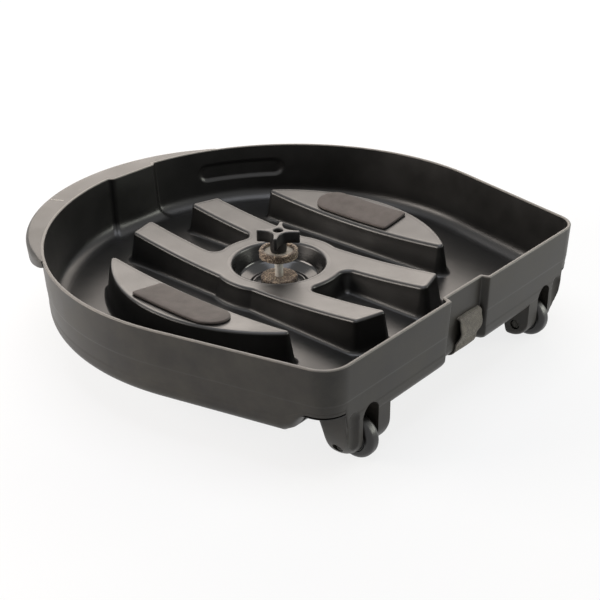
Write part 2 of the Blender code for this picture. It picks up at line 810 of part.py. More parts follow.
def ribbon(name, path, half_width, half_thickness, middle_x, collection, material):
    """Flat band of constant thickness along a path in y and z."""
    rings = []
    for k, (y, z) in enumerate(path):
        before = path[max(k - 1, 0)]
        after = path[min(k + 1, len(path) - 1)]
        length = math.hypot(after[0] - before[0], after[1] - before[1])
        normal_y = -(after[1] - before[1]) / length * half_thickness
        normal_z = (after[0] - before[0]) / length * half_thickness
        rings.append(
            [
                (middle_x - half_width, y - normal_y, z - normal_z),
                (middle_x + half_width, y - normal_y, z - normal_z),
                (middle_x + half_width, y + normal_y, z + normal_z),
                (middle_x - half_width, y + normal_y, z + normal_z),
            ]
        )
    return loft(name, rings, collection, material)


def anchor_places():
    y = strap_path()[-1][0] - ANCHOR_LENGTH / 2
    return [(STRAP_X - ANCHOR_RIVET_SPREAD, y), (STRAP_X + ANCHOR_RIVET_SPREAD, y)]


def small_bores():
    """Post bore, strap slot and the strap's two rivet bores."""
    bore = cylinder("post_bore", ROD_RADIUS + SEAT, 3 * WALL, CUTTERS, sides=BORE_STEPS)
    bore.location = (0.0, POST_OFFSET, DISH_UNDER - WALL)
    slot = box(
        "strap_slot",
        (STRAP_WIDTH + 10 * SEAT, 3 * WALL, STRAP_THICKNESS + 4 * SEAT),
        (STRAP_X, (GROOVE_OUTSIDE + GROOVE_INSIDE) / 2, STRAP_SLOT_Z),
        CUTTERS,
    )
    tools = [bore, slot]
    for k, (x, y) in enumerate(anchor_places()):
        tool = cylinder("base_rivet_bore_%d" % (k + 1), RIVET_RADIUS + SEAT, 3 * WALL, CUTTERS, sides=BORE_STEPS)
        tool.location = (x, y, BASE_Z - WALL)
        tools.append(tool)
    return tools


def make_base_shell(material):
    """Tray with cradle, wheel housings, feet and grip as one moulding."""
    shell = tray_blank()
    shell.data.materials.append(material)
    cavity = tray_cavity()
    solids, hollows = cradle_pieces()
    wells = [corner_well(side, hand) for side, hand in SIDES]
    combine_group(cavity, "cradle", wells + solids, "DIFFERENCE")
    cup, dish, mouth = dish_tools()
    void = hollows.pop()
    combine_group(void, "hollows", hollows, "UNION")
    cut(void, cup)
    outside, channel = grip_tools()
    inside = [cavity, channel, void, dish, mouth] + small_bores()
    for side, hand in SIDES:
        foot, foot_cup = foot_tools(side, hand)
        outside += [wheel_housing(side, hand), foot]
        inside += wheel_cutters(side, hand) + axle_bores(side, hand) + [foot_cup]
    combine_group(shell, "outside", outside, "UNION")
    combine_group(shell, "inside", inside, "DIFFERENCE")
    return shade(shell, 30.0)


def make_strap(webbing, steel):
    half = STRAP_THICKNESS / 2
    strap = ribbon("strap_front", strap_path(), STRAP_WIDTH / 2, half, STRAP_X, PARTS, webbing)
    bar = cylinder("strap_bar", STRAP_BAR_RADIUS, STRAP_WIDTH + 5 * WALL, PARTS, steel, sides=BORE_STEPS)
    turn = Matrix.Rotation(math.pi / 2, 4, "Y")
    middle = (STRAP_X - STRAP_WIDTH / 2 - 2.5 * WALL, STRAP_BAR_Y, STRAP_BAR_Z)
    bar.matrix_basis = Matrix.Translation(middle) @ turn
    shade(bar)
    low = BASE_Z - SEAT - STRAP_THICKNESS - SEAT
    places = anchor_places()
    plate = box(
        "strap_plate",
        (STRAP_WIDTH, ANCHOR_LENGTH, ANCHOR_THICKNESS),
        (STRAP_X, places[0][1], low - ANCHOR_THICKNESS / 2),
        PARTS,
        steel,
    )
    tail = low - ANCHOR_THICKNESS - SEAT
    for k, (x, y) in enumerate(places):
        bore = cylinder("strap_rivet_bore_%d" % (k + 1), RIVET_RADIUS + SEAT, 4 * WALL, CUTTERS, sides=BORE_STEPS)
        bore.location = (x, y, BASE_Z - 3 * WALL)
        cut(strap, bore)
        cut(plate, bore)
        head = RIVET_HEAD_RADIUS
        rivet = turned(
            "strap_rivet_%d" % (k + 1),
            [
                (0.0, FLOOR_Z + SEAT + RIVET_HEAD_HEIGHT),
                (head * 0.7, FLOOR_Z + SEAT + RIVET_HEAD_HEIGHT * 0.85),
                (head, FLOOR_Z + SEAT),
                (RIVET_RADIUS, FLOOR_Z + SEAT),
                (RIVET_RADIUS, tail),
                (head * 0.9, tail),
                (head * 0.9, tail - RIVET_HEAD_HEIGHT / 2),
                (0.0, tail - RIVET_HEAD_HEIGHT / 2),
            ],
            PARTS,
            steel,
            steps=BORE_STEPS,
        )
        rivet.location = (x, y, 0.0)
        shade(rivet)
    shade(strap, 50.0)


def make_pad(side, hand, material):
    """Foam pad that follows the bow: one end square and one end round."""
    half = PAD_WIDTH / 2
    middle = PAD_INNER + half
    tip = -PAD_ROUND_END
    flat = PAD_SQUARE_END
    stations = [
        (tip + half * (1 - math.cos(turn)), half * max(math.sin(turn), 0.18)) for turn in quarter(6)
    ]
    start = stations[-1][0]
    stations += [(start + (flat - start) * k / 7, half) for k in range(1, 8)]
    rings = []
    for away, reach in stations:
        y = POST_OFFSET - side * away
        across = [middle + reach * share for share in (-1.0, -0.4, 0.4, 1.0)]
        lower = [(side * x, y, bow_height(x, y) + PAD_LIFT) for x in across]
        upper = [(x, y2, z + PAD_THICKNESS) for x, y2, z in lower]
        upper[0] = (upper[0][0] + side * PAD_THICKNESS / 3, y, upper[0][2])
        upper[-1] = (upper[-1][0] - side * PAD_THICKNESS / 3, y, upper[-1][2])
        rings.append(lower + list(reversed(upper)))
    return shade(loft("pad_" + hand, rings, PARTS, material))


def at_post(item, height=0.0):
    item.location = (0.0, POST_OFFSET, height)
    return shade(item)


def hexagon(name, across, bore, height, material):
    """Hexagon nut or bolt head about its own Z, with a plain bore if `bore` is given."""
    nut = cylinder(name, across / math.sqrt(3), height, PARTS, material, sides=6)
    add_bevel(nut, height / 12, 1)
    if bore:
        tool = cylinder(name + "_bore", bore, height + 2 * WALL, CUTTERS, sides=BORE_STEPS)
        tool.parent = nut
        tool.location = (0.0, 0.0, -WALL)
        cut(nut, tool)
    return nut


def ring_band(name, outer, inner, thickness, material, edge=0.0, steps=TURN_STEPS):
    """Flat ring standing on its own origin."""
    profile = [(outer - edge, thickness), (outer, thickness - edge), (outer, edge), (outer - edge, 0.0)]
    if not edge:
        profile = [(outer, thickness), (outer, 0.0)]
    profile += [(inner, 0.0), (inner, thickness)]
    return turned(name, profile, PARTS, material, steps)


def make_post(steel, zinc):
    """Bolt up through the dish with its washers, jam nut and sleeve."""
    under = DISH_UNDER - SEAT - PLATE_THICKNESS
    washer = ring_band("post_washer_under", PLATE_RADIUS, ROD_RADIUS + SEAT, PLATE_THICKNESS, zinc)
    at_post(washer, under)
    head_low = under - SEAT - BOLT_HEAD_HEIGHT
    bolt = hexagon("post_bolt", BOLT_ACROSS, 0.0, BOLT_HEAD_HEIGHT, steel)
    rod = turned(
        "post_rod",
        [
            (0.0, ROD_TOP - head_low),
            (ROD_RADIUS * 0.75, ROD_TOP - head_low),
            (ROD_RADIUS, ROD_TOP - head_low - ROD_RADIUS * 0.25),
            (ROD_RADIUS, BOLT_HEAD_HEIGHT / 2),
            (0.0, BOLT_HEAD_HEIGHT / 2),
        ],
        CUTTERS,
        steps=BORE_STEPS,
    )
    rod.parent = bolt
    join(bolt, rod)
    at_post(bolt, head_low)
    floor = ring_band("post_washer_floor", JAM_ACROSS * 0.62, ROD_RADIUS + SEAT, FLOOR_WASHER, zinc, steps=24)
    at_post(floor, DISH_Z + SEAT)
    nut = hexagon("post_jam_nut", JAM_ACROSS, ROD_RADIUS + SEAT, JAM_HEIGHT, zinc)
    at_post(nut, JAM_Z)
    sleeve = ring_band("post_sleeve", SLEEVE_RADIUS, ROD_RADIUS + SEAT, SLEEVE_TOP - SLEEVE_Z, zinc, 0.0004, 24)
    at_post(sleeve, SLEEVE_Z)


def make_felts(felt, zinc):
    """Lower felt on the dish floor, upper felt with its washer let into its top."""
    edge = FELT_LOWER_THICKNESS / 6
    top = FELT_LOWER_THICKNESS
    inner = SLEEVE_RADIUS + SEAT
    lower = turned(
        "felt_lower",
        [
            (FELT_LOWER_RADIUS - edge, top),
            (FELT_LOWER_RADIUS, top - edge),
            (FELT_LOWER_RADIUS, edge),
            (FELT_LOWER_RADIUS - edge, 0.0),
            (FELT_POCKET, 0.0),
            (FELT_POCKET, SLEEVE_Z - DISH_Z),
            (inner, SLEEVE_Z - DISH_Z),
            (inner, top),
        ],
        PARTS,
        felt,
    )
    at_post(lower, DISH_Z + SEAT)
    top = FELT_UPPER_THICKNESS
    upper = turned(
        "felt_upper",
        [
            (FELT_RECESS_RADIUS + 2 * edge, top),
            (FELT_UPPER_RADIUS - edge, top),
            (FELT_UPPER_RADIUS, top - edge),
            (FELT_UPPER_RADIUS, edge),
            (FELT_UPPER_RADIUS - edge, 0.0),
            (inner, 0.0),
            (inner, top - FELT_RECESS),
            (FELT_RECESS_RADIUS, top - FELT_RECESS),
            (FELT_RECESS_RADIUS, top - edge),
        ],
        PARTS,
        felt,
    )
    at_post(upper, UPPER_FELT_Z)
    cup = ring_band("felt_washer", FELT_RECESS_RADIUS - SEAT, inner, CUP_WASHER_THICKNESS, zinc, 0.0004)
    at_post(cup, UPPER_FELT_Z + top - FELT_RECESS + SEAT)


def knob_outline():
    """Cross with four blunt arms whose flanks sweep into each other, anticlockwise."""
    half = KNOB_ARM_WIDTH / 2
    points = []
    for quadrant in range(4):
        turn = quadrant * math.pi / 2
        local = arc((KNOB_REACH - half, 0.0), half, 0.0, math.pi / 2, 3)
        join_x = KNOB_WEB / half
        corner = math.sqrt(KNOB_WEB)
        steps = 3
        for k in range(steps + 1):
            x = join_x * (corner / join_x) ** (k / steps)
            local.append((x, KNOB_WEB / x))
        local += [(y, x) for x, y in reversed(local[:-1])]
        for x, y in local[:-1]:
            points.append((x * math.cos(turn) - y * math.sin(turn), x * math.sin(turn) + y * math.cos(turn)))
    return points


def make_knob(plastic, brass):
    """Four-armed knob on a round hub, with a threaded insert let into it."""
    low = KNOB_HEIGHT - KNOB_ARM_HEIGHT
    outline = knob_outline()
    knob = loft("knob", [[(x, y, z) for x, y in outline] for z in (low, KNOB_HEIGHT)], PARTS, plastic)
    add_bevel(knob, KNOB_ARM_WIDTH / 4, 1)
    hub = turned(
        "knob_hub",
        [(0.0, low + WALL), (HUB_OUTER, low + WALL), (HUB_OUTER - 0.0008, 0.0), (0.0, 0.0)],
        CUTTERS,
        steps=TURN_STEPS,
    )
    insert_low = INSERT_Z - KNOB_Z
    insert_high = insert_low + INSERT_LENGTH
    bore = turned(
        "knob_bore",
        [
            (0.0, KNOB_HEIGHT + WALL),
            (KNOB_BORE, KNOB_HEIGHT + WALL),
            (KNOB_BORE, insert_high + SEAT),
            (INSERT_RADIUS + SEAT, insert_high + SEAT),
            (INSERT_RADIUS + SEAT, insert_low - SEAT),
            (SLEEVE_RADIUS + SEAT, insert_low - SEAT),
            (SLEEVE_RADIUS + SEAT, -WALL),
            (0.0, -WALL),
        ],
        CUTTERS,
        steps=TURN_STEPS,
    )
    hub.parent = knob
    bore.parent = knob
    join(knob, hub)
    cut(knob, bore)
    at_post(knob, KNOB_Z)
    knob.rotation_euler.z = KNOB_TURN
    insert = ring_band("knob_insert", INSERT_RADIUS, ROD_RADIUS + SEAT, INSERT_LENGTH, brass, 0.0005, 24)
    at_post(insert, INSERT_Z)


def make_wheel(side, hand, rubber, plastic, steel, zinc, bronze):
    """Tyre, hub and bush about the axle, with the axle, its nut and two spacers."""
    middle = side * WHEEL_SPREAD
    half = WHEEL_WIDTH / 2
    edge = WHEEL_WIDTH / 6
    boss = HUB_WIDTH / 2
    shoulder = half - TREAD_WIDTH / 2
    tread = [
        (WHEEL_RADIUS - TREAD_ROUND * (1 - math.sin(turn)), half - shoulder * (1 - math.cos(turn)))
        for turn in quarter(EDGE_STEPS + 2)
    ]
    tread += [(radius, -height) for radius, height in reversed(tread)]
    tyre = turned(
        "wheel_tyre_" + hand,
        tread + [(HUB_RADIUS + SEAT, -half), (HUB_RADIUS + SEAT, half)],
        PARTS,
        rubber,
    )
    web = half * 0.45
    flange = HUB_RADIUS - edge / 2
    hub = turned(
        "wheel_hub_" + hand,
        [
            (BUSH_RADIUS * 1.6, boss),
            (BUSH_RADIUS * 1.6, web),
            (flange, web),
            (flange, half),
            (HUB_RADIUS, half),
            (HUB_RADIUS, -half),
            (flange, -half),
            (flange, -web),
            (BUSH_RADIUS * 1.6, -web),
            (BUSH_RADIUS * 1.6, -boss),
            (BUSH_RADIUS + SEAT, -boss),
            (BUSH_RADIUS + SEAT, boss),
        ],
        PARTS,
        plastic,
    )
    bush = turned(
        "wheel_bush_" + hand,
        [
            (BUSH_RADIUS, boss),
            (BUSH_RADIUS, -boss),
            (AXLE_RADIUS + RUNNING, -boss),
            (AXLE_RADIUS + RUNNING, boss),
        ],
        PARTS,
        bronze,
        24,
    )
    for item in (tyre, hub, bush):
        item.matrix_basis = along_x(middle, side)
        shade(item)
    thickness = SLOT_HALF - boss - 2 * SEAT
    for name, low in (("outer", boss + SEAT), ("inner", -boss - SEAT - thickness)):
        washer = ring_band(
            "wheel_washer_%s_%s" % (hand, name), SPACER_RADIUS, AXLE_RADIUS + SEAT, thickness, zinc, steps=24
        )
        washer.matrix_basis = along_x(middle, side) @ Matrix.Translation((0, 0, low))
        shade(washer)
    top = AXLE_HEAD_HEIGHT
    end = NUT_SEAT - SEAT - NUT_HEIGHT - RUNNING * 4
    axle = turned(
        "axle_" + hand,
        [
            (0.0, HEAD_SEAT + SEAT + top),
            (AXLE_HEAD_RADIUS * 0.6, HEAD_SEAT + SEAT + top * 0.9),
            (AXLE_HEAD_RADIUS, HEAD_SEAT + SEAT + top * 0.35),
            (AXLE_HEAD_RADIUS, HEAD_SEAT + SEAT),
            (AXLE_RADIUS, HEAD_SEAT + SEAT),
            (AXLE_RADIUS, end),
            (0.0, end),
        ],
        PARTS,
        steel,
        24,
    )
    axle.matrix_basis = along_x(middle, side)
    shade(axle)
    nut = hexagon("axle_nut_" + hand, NUT_ACROSS, AXLE_RADIUS + SEAT, NUT_HEIGHT, zinc)
    nut.matrix_basis = along_x(middle, side) @ Matrix.Translation((0, 0, NUT_SEAT - SEAT - NUT_HEIGHT))
    shade(nut)


def case_middle():
    """Middle of the object's box along Y, from the wheels to the grip."""
    far = max((RIM_RADIUS + grip_bulge(turn)) * math.cos(turn) for turn in grip_turns(0.985))
    return (far + AXLE_Y - WHEEL_RADIUS) / 2


def main():
    clear_scene()
    make_collection(PARTS)
    make_collection(CUTTERS)
    frame = bpy.data.objects.new("case_frame", None)
    bpy.context.scene.collection.objects.link(frame)
    frame.location.y = -case_middle()
    shell = make_material("rotomoulded_polyethylene", (0.035, 0.035, 0.033), 0.45)
    foam = make_material("foam", (0.22, 0.18, 0.17), 0.95)
    felt = make_material("felt", (0.22, 0.15, 0.10), 1.0)
    steel = make_material("bright_steel", (0.55, 0.55, 0.54), 0.3, 1.0)
    zinc = make_material("zinc_plated_steel", (0.62, 0.60, 0.56), 0.35, 1.0)
    brass = make_material("brass", (0.70, 0.50, 0.22), 0.3, 1.0)
    plastic = make_material("moulded_nylon", (0.02, 0.02, 0.02), 0.4)
    rubber = make_material("tyre_rubber", (0.03, 0.03, 0.03), 0.7)
    bronze = make_material("sintered_bronze", (0.45, 0.30, 0.16), 0.5, 1.0)
    webbing = make_material("polypropylene_webbing", (0.16, 0.15, 0.14), 0.8)
    make_base_shell(shell)
    make_post(steel, zinc)
    make_felts(felt, zinc)
    make_knob(plastic, brass)
    make_strap(webbing, steel)
    for side, hand in SIDES:
        make_pad(side, hand, foam)
        make_wheel(side, hand, rubber, plastic, steel, zinc, bronze)


main()
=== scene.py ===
"""Looks of the wheeled cymbal case: its finishes, its fine surfaces, the studio and the camera."""

import logging
import math
from dataclasses import dataclass
from enum import Enum
from typing import Any, Callable

import bmesh
import bpy
import numpy as np
from mathutils import Matrix, Vector
from mathutils.geometry import delaunay_2d_cdt


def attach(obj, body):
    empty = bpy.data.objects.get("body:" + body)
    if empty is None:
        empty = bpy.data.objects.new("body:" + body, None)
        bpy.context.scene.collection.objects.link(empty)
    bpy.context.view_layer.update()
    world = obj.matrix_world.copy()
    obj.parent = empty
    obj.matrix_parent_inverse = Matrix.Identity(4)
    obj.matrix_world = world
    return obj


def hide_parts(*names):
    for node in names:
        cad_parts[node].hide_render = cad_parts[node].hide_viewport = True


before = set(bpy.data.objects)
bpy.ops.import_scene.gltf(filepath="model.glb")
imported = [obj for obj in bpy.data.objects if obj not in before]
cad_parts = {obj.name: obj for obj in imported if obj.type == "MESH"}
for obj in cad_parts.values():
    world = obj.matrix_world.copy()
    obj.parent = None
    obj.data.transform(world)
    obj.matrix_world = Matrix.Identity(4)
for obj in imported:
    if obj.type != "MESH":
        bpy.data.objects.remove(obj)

LOG = logging.getLogger("cymbal_case")
# The case is drawn about the middle of its round end and then moved by this much along -Y
MIDDLE_Y = 0.024598587
# The post from the middle of the round end, and the axles from there and from the floor
POST_Y = 0.013
AXLE_Y = -0.255
AXLE_Z = 0.025

Colour = tuple[float, float, float, float]
Points = np.ndarray


def srgb(code: str) -> Colour:
    """Linear colour of an sRGB hex value.

    Args:
        code: Six hex digits.

    Returns:
        Red, green, blue and alpha, linear.
    """
    values = np.array([int(code[k:k + 2], 16) / 255 for k in (0, 2, 4)])
    linear = np.where(values <= 0.04045, values / 12.92, ((values + 0.055) / 1.055) ** 2.4)
    return (*[float(value) for value in linear], 1.0)


def add(
    tree: bpy.types.NodeTree, kind: str, inputs: dict[Any, Any] | None = None, **settings: Any
) -> bpy.types.Node:
    """Adds one node with its settings, its values and its links.

    Args:
        tree: Node tree that gets the node.
        kind: Short type name, such as "TexNoise".
        inputs: Value or output socket for each input, by name or number.
        settings: Properties of the node itself.

    Returns:
        The new node.
    """
    node = tree.nodes.new("ShaderNode" + kind)
    for name, value in settings.items():
        setattr(node, name, value)
    for key, value in (inputs or {}).items():
        if isinstance(value, bpy.types.NodeSocket):
            tree.links.new(value, node.inputs[key])
        else:
            node.inputs[key].default_value = value
    return node


def ramp(
    tree: bpy.types.NodeTree, fac: bpy.types.NodeSocket, stops: list[tuple[float, Colour]]
) -> bpy.types.NodeSocket:
    """Colour ramp over a value.

    Args:
        tree: Node tree that gets the ramp.
        fac: Value that the ramp reads.
        stops: Position and colour of each stop, from low to high.

    Returns:
        The ramp's colour output.
    """
    node = add(tree, "ValToRGB", {"Fac": fac})
    elements = node.color_ramp.elements
    for k, (position, colour) in enumerate(stops):
        stop = elements[k] if k < 2 else elements.new(position)
        stop.position = position
        stop.color = colour
    return node.outputs["Color"]


@dataclass(frozen=True)
class Finish:
    """A plain surface whose colour, gloss and grain vary a little, as moulded and plated things do."""

    name: str
    light: str
    dark: str
    roughness: float
    spread: float = 0.06
    patch_mm: float = 30.0
    grain_mm: float = 0.8
    grain_depth_mm: float = 0.02
    metallic: float = 0.0
    ior: float = 1.5
    sheen: float = 0.0
    coat: float = 0.0
    stretch: tuple[float, float, float] = (1.0, 1.0, 1.0)
    bump: float = 0.5

    def start(self) -> tuple[bpy.types.Material, bpy.types.NodeTree, bpy.types.Node, bpy.types.NodeSocket]:
        """A new material with its shader's constants set and its object coordinates stretched.

        Returns:
            Material, node tree, shader and coordinates.
        """
        material = bpy.data.materials.new(self.name)
        material.use_nodes = True
        tree = material.node_tree
        shader = tree.nodes["Principled BSDF"]
        shader.inputs["Metallic"].default_value = self.metallic
        shader.inputs["IOR"].default_value = self.ior
        shader.inputs["Sheen Weight"].default_value = self.sheen
        shader.inputs["Sheen Roughness"].default_value = 0.5
        shader.inputs["Coat Weight"].default_value = self.coat
        shader.inputs["Coat Roughness"].default_value = 0.25
        coords = add(tree, "TexCoord")
        mapping = add(tree, "Mapping", {"Vector": coords.outputs["Object"], "Scale": self.stretch})
        return material, tree, shader, mapping.outputs["Vector"]

    def build(self) -> bpy.types.Material:
        """The finished material: patches move colour and roughness, a fine grain lifts the surface.

        Returns:
            The material.
        """
        material, tree, shader, place = self.start()
        patches = add(
            tree,
            "TexNoise",
            {"Vector": place, "Scale": 1000 / self.patch_mm, "Detail": 4.0, "Roughness": 0.6},
        )
        fac = patches.outputs["Fac"]
        tree.links.new(
            ramp(tree, fac, [(0.3, srgb(self.dark)), (0.7, srgb(self.light))]), shader.inputs["Base Color"]
        )
        rough = add(
            tree,
            "MapRange",
            {
                "Value": fac,
                "From Min": 0.3,
                "From Max": 0.7,
                "To Min": self.roughness - self.spread,
                "To Max": self.roughness + self.spread,
            },
        )
        tree.links.new(rough.outputs["Result"], shader.inputs["Roughness"])
        grain = add(tree, "TexNoise", {"Vector": place, "Scale": 1000 / self.grain_mm, "Detail": 2.0})
        bump = add(
            tree,
            "Bump",
            {"Height": grain.outputs["Fac"], "Strength": self.bump, "Distance": self.grain_depth_mm / 1000},
        )
        tree.links.new(bump.outputs["Normal"], shader.inputs["Normal"])
        return material


@dataclass(frozen=True)
class Polyethylene(Finish):
    """Rotomoulded polyethylene: satin, faintly orange-peeled, with dust and drag marks from use."""

    scratch: str = "8f8b84"
    polish: float = 1.0

    def build(self) -> bpy.types.Material:
        """Grain, slow waves of the moulding, dusty patches, thin pale scratches and a glossier low part.

        Returns:
            The material.
        """
        material, tree, shader, place = self.start()
        patches = add(
            tree,
            "TexNoise",
            {"Vector": place, "Scale": 1000 / self.patch_mm, "Detail": 5.0, "Roughness": 0.65},
        )
        base = ramp(tree, patches.outputs["Fac"], [(0.3, srgb(self.dark)), (0.72, srgb(self.light))])
        # Drag marks run round and along the case: long in X and Y, short in Z
        drags = add(tree, "Mapping", {"Vector": place, "Scale": (1.0, 1.0, 26.0)})
        marks = add(
            tree,
            "TexNoise",
            {"Vector": drags.outputs["Vector"], "Scale": 38.0, "Detail": 6.0, "Roughness": 0.75},
        )
        thin = add(tree, "MapRange", {"Value": marks.outputs["Fac"], "From Min": 0.66, "From Max": 0.74})
        rare = add(tree, "TexNoise", {"Vector": place, "Scale": 14.0, "Detail": 1.0})
        there = add(
            tree,
            "MapRange",
            {"Value": rare.outputs["Fac"], "From Min": 0.52, "From Max": 0.66, "To Max": 0.32},
        )
        scuff = add(
            tree, "Math", {0: thin.outputs["Result"], 1: there.outputs["Result"]}, operation="MULTIPLY"
        )
        worn = add(
            tree, "Mix", {"Factor": scuff.outputs["Value"], 6: base, 7: srgb(self.scratch)}, data_type="RGBA"
        )
        tree.links.new(worn.outputs[2], shader.inputs["Base Color"])
        rough = add(
            tree,
            "MapRange",
            {
                "Value": patches.outputs["Fac"],
                "From Min": 0.3,
                "From Max": 0.7,
                "To Min": self.roughness - self.spread,
                "To Max": self.roughness + self.spread,
            },
        )
        # A hollow that nothing rubs keeps the mould's gloss, fading out from 60 to 76 mm
        height = add(tree, "SeparateXYZ", {"Vector": place}).outputs["Z"]
        gloss = add(
            tree,
            "MapRange",
            {"Value": height, "From Min": 0.060, "From Max": 0.076, "To Min": self.polish, "To Max": 1.0},
        )
        kept = add(
            tree, "Math", {0: rough.outputs["Result"], 1: gloss.outputs["Result"]}, operation="MULTIPLY"
        )
        tree.links.new(kept.outputs["Value"], shader.inputs["Roughness"])
        grain = add(
            tree,
            "TexNoise",
            {"Vector": place, "Scale": 1000 / self.grain_mm, "Detail": 3.0, "Roughness": 0.6},
        )
        waves = add(tree, "TexNoise", {"Vector": place, "Scale": 16.0, "Detail": 1.0})
        fine = add(
            tree,
            "Bump",
            {"Height": grain.outputs["Fac"], "Strength": self.bump, "Distance": self.grain_depth_mm / 1000},
        )
        slow = add(
            tree,
            "Bump",
            {
                "Height": waves.outputs["Fac"],
                "Strength": 0.3,
                "Distance": 0.002,
                "Normal": fine.outputs["Normal"],
            },
        )
        tree.links.new(slow.outputs["Normal"], shader.inputs["Normal"])
        return material


@dataclass(frozen=True)
class Felt(Finish):
    """Pressed wool felt: matted short fibres of several browns, with a soft sheen."""

    fleck: str = "8c7664"

    def build(self) -> bpy.types.Material:
        """Fibres as two crossed sets of stretched noise over a mottled ground.

        Returns:
            The material.
        """
        material, tree, shader, place = self.start()
        ground = add(tree, "TexNoise", {"Vector": place, "Scale": 1000 / self.patch_mm, "Detail": 4.0})
        base = ramp(tree, ground.outputs["Fac"], [(0.35, srgb(self.dark)), (0.65, srgb(self.light))])
        # Tufts about 1.5 mm thick and 5 mm long, drawn far thicker than wool's 0.03 mm so that they show
        heights = []
        for turn, squeeze in (
            ((0.4, 0.9, 0.3), (80.0, 300.0, 220.0)), ((1.1, 0.2, 1.4), (270.0, 90.0, 240.0))
        ):
            lay = add(tree, "Mapping", {"Vector": place, "Rotation": turn, "Scale": squeeze})
            hair = add(
                tree,
                "TexNoise",
                {"Vector": lay.outputs["Vector"], "Scale": 2.1, "Detail": 3.0, "Distortion": 1.2},
            )
            heights.append(hair.outputs["Fac"])
        mat = add(tree, "Math", {0: heights[0], 1: heights[1]}, operation="MAXIMUM")
        pale = add(
            tree,
            "MapRange",
            {"Value": mat.outputs["Value"], "From Min": 0.54, "From Max": 0.66, "To Max": 0.85},
        )
        mixed = add(
            tree, "Mix", {"Factor": pale.outputs["Result"], 6: base, 7: srgb(self.fleck)}, data_type="RGBA"
        )
        tree.links.new(mixed.outputs[2], shader.inputs["Base Color"])
        shader.inputs["Roughness"].default_value = self.roughness
        bump = add(
            tree,
            "Bump",
            {"Height": mat.outputs["Value"], "Strength": self.bump, "Distance": self.grain_depth_mm / 1000},
        )
        tree.links.new(bump.outputs["Normal"], shader.inputs["Normal"])
        return material


@dataclass(frozen=True)
class Webbing(Finish):
    """Woven polypropylene webbing, painted pale as a painted sheen: ribs across a band, placed by its UV map,
    which is in metres.
    """

    rib_mm: float = 1.5

    def build(self) -> bpy.types.Material:
        """Two sets of waves, one along and one across the band, offset like a twill, with painted shade
        darkening their troughs.

        Returns:
            The material.
        """
        material, tree, shader, place = self.start()
        uv = add(tree, "TexCoord").outputs["UV"]
        parts = add(tree, "SeparateXYZ", {"Vector": uv})
        waves = []
        for out, pitch in (("X", self.rib_mm), ("Y", self.rib_mm * 0.72)):
            turn = add(tree, "Math", {0: parts.outputs[out], 1: 2000 * math.pi / pitch}, operation="MULTIPLY")
            waves.append(turn.outputs["Value"])
        lean = add(tree, "Math", {0: waves[0], 1: waves[1]}, operation="ADD")
        ridge = add(tree, "Math", {0: lean.outputs["Value"]}, operation="SINE")
        cross = add(tree, "Math", {0: waves[1]}, operation="SINE")
        weave = add(tree, "Math", {0: ridge.outputs["Value"], 1: cross.outputs["Value"]}, operation="MAXIMUM")
        # This noise mottles how pale the painted sheen makes the band
        dust = add(
            tree,
            "TexNoise",
            {"Vector": place, "Scale": 1000 / self.patch_mm, "Detail": 6.0, "Roughness": 0.7},
        )
        # Painted shade: the band is coloured darker in the weave's troughs and lighter on its ridges
        shade = add(
            tree,
            "MapRange",
            {
                "Value": weave.outputs["Value"],
                "From Min": -0.8,
                "From Max": 1.0,
                "To Min": 0.1,
                "To Max": 0.75,
            },
        )
        blend = add(tree, "Math", {0: shade.outputs["Result"], 1: dust.outputs["Fac"]}, operation="MULTIPLY")
        tree.links.new(
            ramp(tree, blend.outputs["Value"], [(0.05, srgb(self.dark)), (0.5, srgb(self.light))]),
            shader.inputs["Base Color"],
        )
        shader.inputs["Roughness"].default_value = self.roughness
        bump = add(
            tree,
            "Bump",
            {"Height": weave.outputs["Value"], "Strength": self.bump, "Distance": self.grain_depth_mm / 1000},
        )
        tree.links.new(bump.outputs["Normal"], shader.inputs["Normal"])
        return material


@dataclass(frozen=True)
class Foam(Finish):
    """Closed-cell foam sheet: dull, with fine skinned pores."""

    pore_mm: float = 0.9

    def build(self) -> bpy.types.Material:
        """Cells from a Voronoi pattern sink small pores into a dull mottled skin.

        Returns:
            The material.
        """
        material, tree, shader, place = self.start()
        patches = add(tree, "TexNoise", {"Vector": place, "Scale": 1000 / self.patch_mm, "Detail": 5.0})
        base = ramp(tree, patches.outputs["Fac"], [(0.3, srgb(self.dark)), (0.7, srgb(self.light))])
        cells = add(tree, "TexVoronoi", {"Vector": place, "Scale": 1000 / self.pore_mm})
        pit = add(tree, "MapRange", {"Value": cells.outputs["Distance"], "From Min": 0.0, "From Max": 0.4})
        shadow = add(tree, "MapRange", {"Value": pit.outputs["Result"], "To Min": 0.72, "To Max": 1.0})
        tone = add(
            tree,
            "Mix",
            {"Factor": 1.0, 6: base, 7: shadow.outputs["Result"]},
            data_type="RGBA",
            blend_type="MULTIPLY",
        )
        tree.links.new(tone.outputs[2], shader.inputs["Base Color"])
        shader.inputs["Roughness"].default_value = self.roughness
        bump = add(
            tree,
            "Bump",
            {"Height": pit.outputs["Result"], "Strength": self.bump, "Distance": self.grain_depth_mm / 1000},
        )
        tree.links.new(bump.outputs["Normal"], shader.inputs["Normal"])
        return material


